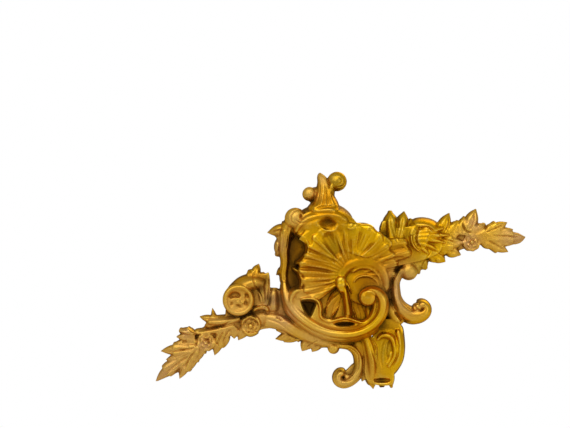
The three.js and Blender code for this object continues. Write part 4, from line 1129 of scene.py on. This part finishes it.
tints = {
    # how strong the look is, and soft patches (x, y, radius) in steps where it is laid: tones of the
    # gilding, with painted shade, painted highlight and painted shadow among them
    "ochre": (0.8, [(-150, -70, 60), (-110, -40, 45), (-75, -35, 40), (-50, -25, 26), (0, -95, 26),
        (-24, 108, 9), (-36, 91, 9), (-52, 68, 11), (165, 45, 24), (60, 0, 22), (-30, -56, 30)]),
    "blush": (0.7, [(-185, -92, 26), (-161, -45, 9), (-140, -60, 7), (-70, -15, 14), (-72, 40, 16),
        (175, 47, 16), (130, 62, 12), (122, 42, 16), (60, -10, 20), (-60, -30, 14)]),
    # paler yellow, partly the tone of the gilding and partly a painted highlight on the boss, the scroll
    # and raised lobes
    "lemonAndHighlight": (0.65, [(102, 43, 26), (-50, -24, 11), (-24, -43, 11), (4, -47, 12), (30, -35, 11),
        (37, -20, 11), (20, 46, 20), (-32, 50, 14), (40, -26, 16), (46, -78, 16), (152, 56, 18),
        (58, -66, 12), (-4, 4, 10), (-38, -34, 18), (84, 34, 14), (-8, -47, 18), (20, -43, 14),
        (28, -60, 12)]),
    # warm brown, partly the tone of the gilding and partly painted shade on the crest, shell, collar, horn
    # and the lower right of the fan
    "rustAndShade": (0.72, [(-18, 77, 13), (-20, 86, 26), (-18, 66, 20), (-36, 60, 14), (2, 66, 12),
        (-22, 8, 16), (-24, 34, 12), (4, 42, 10), (-2, 30, 12), (30, 32, 12), (-92, 4, 12),
        (24, 6, 20), (46, 12, 20), (14, -24, 16), (52, 34, 14), (-84, 0, 14), (-44, 36, 14),
        (-48, 8, 12), (84, 56, 14), (22, -70, 18), (-128, -36, 16), (-156, -60, 12), (124, 44, 7),
        (0, 22, 12), (16, 26, 12), (34, 22, 12), (-6, 10, 9), (-30, 20, 20), (-110, -10, 8),
        (-138, -55, 7), (-12, -20, 10), (20, -26, 10)]),
    # olive brown, partly the tone of the gilding and partly painted shade in the hollows of the shell and
    # leaves
    "oliveAndShade": (0.6, [(-10, 103, 12), (-14, 38, 12), (8, 58, 12), (50, 58, 18), (67, 50, 12),
        (38, -66, 14), (6, -88, 14), (122, 56, 10), (74, 18, 12), (-4, 8, 8)]),
    # painted shadow: dark brown patches where shade falls in the left cavity, beside the horn, in the hood
    # and in pockets
    "paintedShadow": (0.8, [(36, -95, 4), (-53, 46, 5), (-53, 39, 7), (-53, 30, 7), (-53, 21, 6),
        (-52, 12, 6), (-51, 4, 6), (-50, -3, 4), (-84, -4, 6), (-80, 4, 5), (-76, -14, 6),
        (-92, -29, 3), (-17, 63, 5), (52, 14, 5), (46, 2, 4), (-38, -22, 5)]),
}


def smoothed(points, edges, passes, amount=0.5):
    count = len(points)
    degree = np.bincount(edges.ravel(), minlength=count).astype(float)
    for _ in range(passes):
        total = np.zeros_like(points)
        for axis in range(points.shape[1]):
            total[:, axis] = (np.bincount(edges[:, 0], points[edges[:, 1], axis], count)
                              + np.bincount(edges[:, 1], points[edges[:, 0], axis], count))
        points = points + amount * (total / np.maximum(degree, 1)[:, None] - points)
    return points


def nearby(points, route, margin):
    # the front corners in a route's box, and their places in steps
    x, y = points[:, 0] / grid["step"], points[:, 2] / grid["step"]
    low, high = route.min(0) - margin, route.max(0) + margin
    near = np.flatnonzero((x > low[0]) & (x < high[0]) & (y > low[1]) & (y < high[1])
                          & (points[:, 1] < casting["frontFrom"]))
    return near, x[near, None], y[near, None]


def press(points, near, depth):
    # moves corners back by a depth in mm, and no further than the web that has to stay
    moved = points[near, 1] + depth * grid["rise"]
    points[near, 1] = np.minimum(moved, np.maximum(points[near, 1], casting["webTo"]))


def chase(points):
    # cuts or raises every chased line in the face of the casting
    for lines in chasing.values():
        for half, depth, route in lines:
            span = max(math.dist(a, b) for a, b in zip(route, route[1:]))
            path = smoothPath(route, max(4, math.ceil(span / 0.5)))
            near, x, y = nearby(points, path, half)
            if len(near) == 0:
                continue
            gap = np.hypot(x - path[:, 0], y - path[:, 1])
            along = gap.argmin(1) / (len(path) - 1)
            fade = np.clip(np.minimum(along, 1 - along) * 5, 0.15, 1)
            cut = np.cos(np.clip(gap.min(1) / (half * (0.5 + 0.5 * fade)), 0, 1) * math.pi / 2) ** 2
            press(points, near, depth * fade * cut)


def sink(points):
    # presses the pockets in, each with a sloping edge
    for outline, depth, edge in pockets:
        rim = smoothPath(outline + [outline[0]], 6)
        near, px, py = nearby(points, rim, 0)
        ax, ay, bx, by = rim[:-1, 0], rim[:-1, 1], rim[1:, 0], rim[1:, 1]
        crosses = (ay > py) != (by > py)
        where = ax + (py - ay) / np.where(by == ay, 1e-9, by - ay) * (bx - ax)
        inside = (crosses & (px < where)).sum(1) % 2 == 1
        share = np.clip(np.hypot(px - ax, py - ay).min(1) / edge, 0, 1) * inside
        press(points, near, depth * share ** 2 * (3 - 2 * share))


def values(items, field, width=1, kind=float):
    # one field of all the corners, edges or faces of a mesh
    found = np.empty(len(items) * width, dtype=kind)
    items.foreach_get(field, found)
    return found.reshape(-1, width) if width > 1 else found


def pointsAndEdges(mesh):
    return values(mesh.vertices, "co", 3), values(mesh.edges, "vertices", 2, np.int64)


def blurred(field, radius):
    # a soft blur of a height map, as three box blurs along each axis
    for axis in (0, 1):
        for _ in range(3):
            padded = np.concatenate([np.repeat(field.take([0], axis), radius + 1, axis), field,
                                     np.repeat(field.take([-1], axis), radius, axis)], axis)
            total = np.cumsum(padded, axis)
            size = 2 * radius + 1
            upper = total.take(range(size, size + field.shape[axis]), axis)
            lower = total.take(range(0, field.shape[axis]), axis)
            field = (upper - lower) / size
    return field


def castTogether(pieces):
    # fuses the pieces into one skin, shapes it and brings it down to its number of triangles
    base = pieces[0]
    with bpy.context.temp_override(active_object=base, object=base, selected_objects=pieces,
                                   selected_editable_objects=pieces):
        bpy.ops.object.join()
    fuse = base.modifiers.new("fuse", "REMESH")
    fuse.mode = "VOXEL"
    fuse.voxel_size = casting["voxel"] / 1000
    fuse.use_smooth_shade = True
    mesh = plainMesh(base, "giltCasting")
    print("fused", len(mesh.vertices), "corners")
    points, edges = pointsAndEdges(mesh)
    points = smoothed(points, edges, 1)
    points[:, 1] = smoothed(points[:, 1:2], edges, casting["softening"])[:, 0]
    sink(points)
    chase(points)
    points[:, 1] = smoothed(points[:, 1:2], edges, casting["finish"], 0.4)[:, 0]
    mesh.vertices.foreach_set("co", points.ravel())
    thin = base.modifiers.new("thin", "DECIMATE")
    thin.ratio = casting["triangles"] / (2 * len(mesh.polygons))
    mesh = plainMesh(base, "giltCasting")
    print("thinned to", len(mesh.polygons), "triangles")
    base.name = "giltCasting"
    return base


def cutFlat(obj):
    # takes off what lies behind the back, and drills the pin hole
    bpy.ops.mesh.primitive_cube_add(size=1, location=(0, 0.05, 0))
    box = bpy.context.object
    box.scale = (1, 0.1, 1)
    x, y = casting["pinAt"]
    bpy.ops.mesh.primitive_cylinder_add(vertices=24, radius=casting["pinHole"] / 2000, depth=0.2,
                                        location=(x * grid["step"], 0, y * grid["step"]),
                                        rotation=(math.pi / 2, 0, 0))
    pin = bpy.context.object
    for tool in (box, pin):
        cut = obj.modifiers.new("cut", "BOOLEAN")
        cut.operation = "DIFFERENCE"
        cut.solver = "MANIFOLD"
        cut.object = tool
    bpy.context.view_layer.update()
    plainMesh(obj, "giltCasting")
    for tool in (box, pin):
        bpy.data.objects.remove(tool)


shadeAndPatina = {
    "cell": 0.0006,        # m, the grid of heights that sunk places are found with
    "around": (2, 6),      # cells, how far the two blurs reach
    "level": 0.30,         # how dark a level place is painted, as patina and painted shade, 0 to 1
    "fullDepth": 9,        # mm, this much lower than what is around adds all the painted shade
    "steepest": 0.42,      # painted shade that a steep wall adds
    "back": 0.62,          # brown of the flat back
    "rubbed": (0.05, 0.18),  # mm, an edge is worn from the first and all worn by their sum
}


def paintedShadeAndPatina(points, normals, sharp):
    # how dark the gilding is painted at every corner, as patina and painted shade: sunk, steep and creased
    # places are darkest
    low = points.min(0)
    column, row = (((points[:, n] - low[n]) / shadeAndPatina["cell"]).astype(int) for n in (0, 2))
    heights = np.zeros((column.max() + 1, row.max() + 1))
    np.maximum.at(heights, (column, row), -points[:, 1])
    for _ in range(2):
        spread = np.maximum.reduce([heights, *(np.roll(heights, s, a) for s in (1, -1) for a in (0, 1))])
        heights = np.where(heights > 0, heights, spread)
    filled = (heights > 0).astype(float)
    around = sum(0.5 * blurred(heights, reach) for reach in shadeAndPatina["around"])
    weight = sum(0.5 * blurred(filled, reach) for reach in shadeAndPatina["around"])
    sunk = (around / np.maximum(weight, 0.3))[column, row] + points[:, 1]
    hollow = np.clip(shadeAndPatina["level"] + sunk * 1000 / shadeAndPatina["fullDepth"], 0, 1)
    hollow = np.clip(hollow + np.clip(-sharp * 1000 / 0.6, 0, 0.2), 0, 1)
    hollow = np.where(normals[:, 1] > 0.6, shadeAndPatina["back"], hollow)
    steep = np.clip((0.35 + normals[:, 1]) / 0.35, 0, 1)
    return np.clip(hollow + shadeAndPatina["steepest"] * steep * (normals[:, 1] < 0.5), 0, 1)


def paintFields(mesh):
    # writes the patina and painted shade and how worn the skin is at every corner, and the patches of
    # colour, painted shade and highlight among them
    points, edges = pointsAndEdges(mesh)
    normals = values(mesh.vertices, "normal", 3)
    sharp = np.einsum("ij,ij->i", points - smoothed(points, edges, 3, 0.7), normals)
    hollow = paintedShadeAndPatina(points, normals, sharp)
    start, span = shadeAndPatina["rubbed"]
    fields = {"hollow": hollow,
              "edge": np.clip((sharp * 1000 - start) / span, 0, 1) * (hollow < 0.55)}
    x, y = points[:, 0] / grid["step"], points[:, 2] / grid["step"]
    for name, (strength, patches) in tints.items():
        amount = np.zeros(len(points))
        for px, py, radius in patches:
            amount = np.maximum(amount, np.exp(-((x - px) ** 2 + (y - py) ** 2) / radius ** 2 * 1.2))
        fields[name] = amount * strength
    # the flat back is plain: its faces take no colour from the corners of the outline
    corners = values(mesh.loops, "vertex_index", kind=np.int32)
    facing = values(mesh.polygons, "normal", 3)[:, 1]
    behind = np.repeat(facing > 0.95, values(mesh.polygons, "loop_total", kind=np.int32))
    for name, amount in fields.items():
        onBack = shadeAndPatina["back"] if name == "hollow" else 0
        layer = mesh.attributes.new(name, "FLOAT", "CORNER")
        layer.data.foreach_set("value", np.where(behind, onBack, amount[corners]).astype(np.float32))


metal = giltBronze()
parts = [crest, leftFrame, boss, largeScroll, bowl, frond, lowerScroll, bottomLeaf, rightScroll, horn,
         leftArm, rightArm, hood, shellGround, fan, flowerHearts]
forms = [form for part in parts for form in part()]
print(len(forms), "forms drawn")
giltCasting = castTogether([toMesh("forms", forms), shellRibs(metal), petalRings(metal)])
cutFlat(giltCasting)
mesh = giltCasting.data
print("cut flat,", sum(len(p.vertices) - 2 for p in mesh.polygons), "triangles")
lowest, highest = np.array(cadBox[0]), np.array(cadBox[1])
mesh.vertices.foreach_set("co", np.clip(values(mesh.vertices, "co", 3), lowest, highest).ravel())
paintFields(mesh)
mesh.materials.clear()
mesh.materials.append(metal)
mesh.shade_smooth()
mesh.set_sharp_from_angle(angle=math.radians(casting["crease"]))
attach(giltCasting, "root")
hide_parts("shell_ornament")
print("casting finished")

# stage and light


def stagePlane(name, corners, material):
    mesh = bpy.data.meshes.new(name)
    mesh.from_pydata(corners, [], [(0, 1, 2, 3)])
    mesh.materials.append(material)
    obj = addObject(name, mesh)
    return obj


low, far, back = studio["floor"], studio["reach"], studio["wall"]
stagePlane("studioFloor", [(-far, -far, low), (far, -far, low), (far, far, low), (-far, far, low)],
           studioPaper("palePaper", studio["floorPaper"]))
wall = stagePlane("studioWall", [(-far, back, low), (far, back, low), (far, back, far), (-far, back, far)],
                  studioPaper("wallPaper", studio["wallPaper"], True))
wall.visible_diffuse = wall.visible_glossy = wall.visible_shadow = False
wall.visible_transmission = False

world = bpy.data.worlds.new("studioWorld")
world.use_nodes = True
sky = world.node_tree.nodes["Background"].inputs
sky["Color"].default_value = colour(studio["sky"])
sky["Strength"].default_value = studio["skyStrength"]
bpy.context.scene.world = world
for name, box in softBoxes.items():
    addSoftBox(name, *box)
bpy.context.scene.view_settings.view_transform = "Standard"
print("stage and light set")
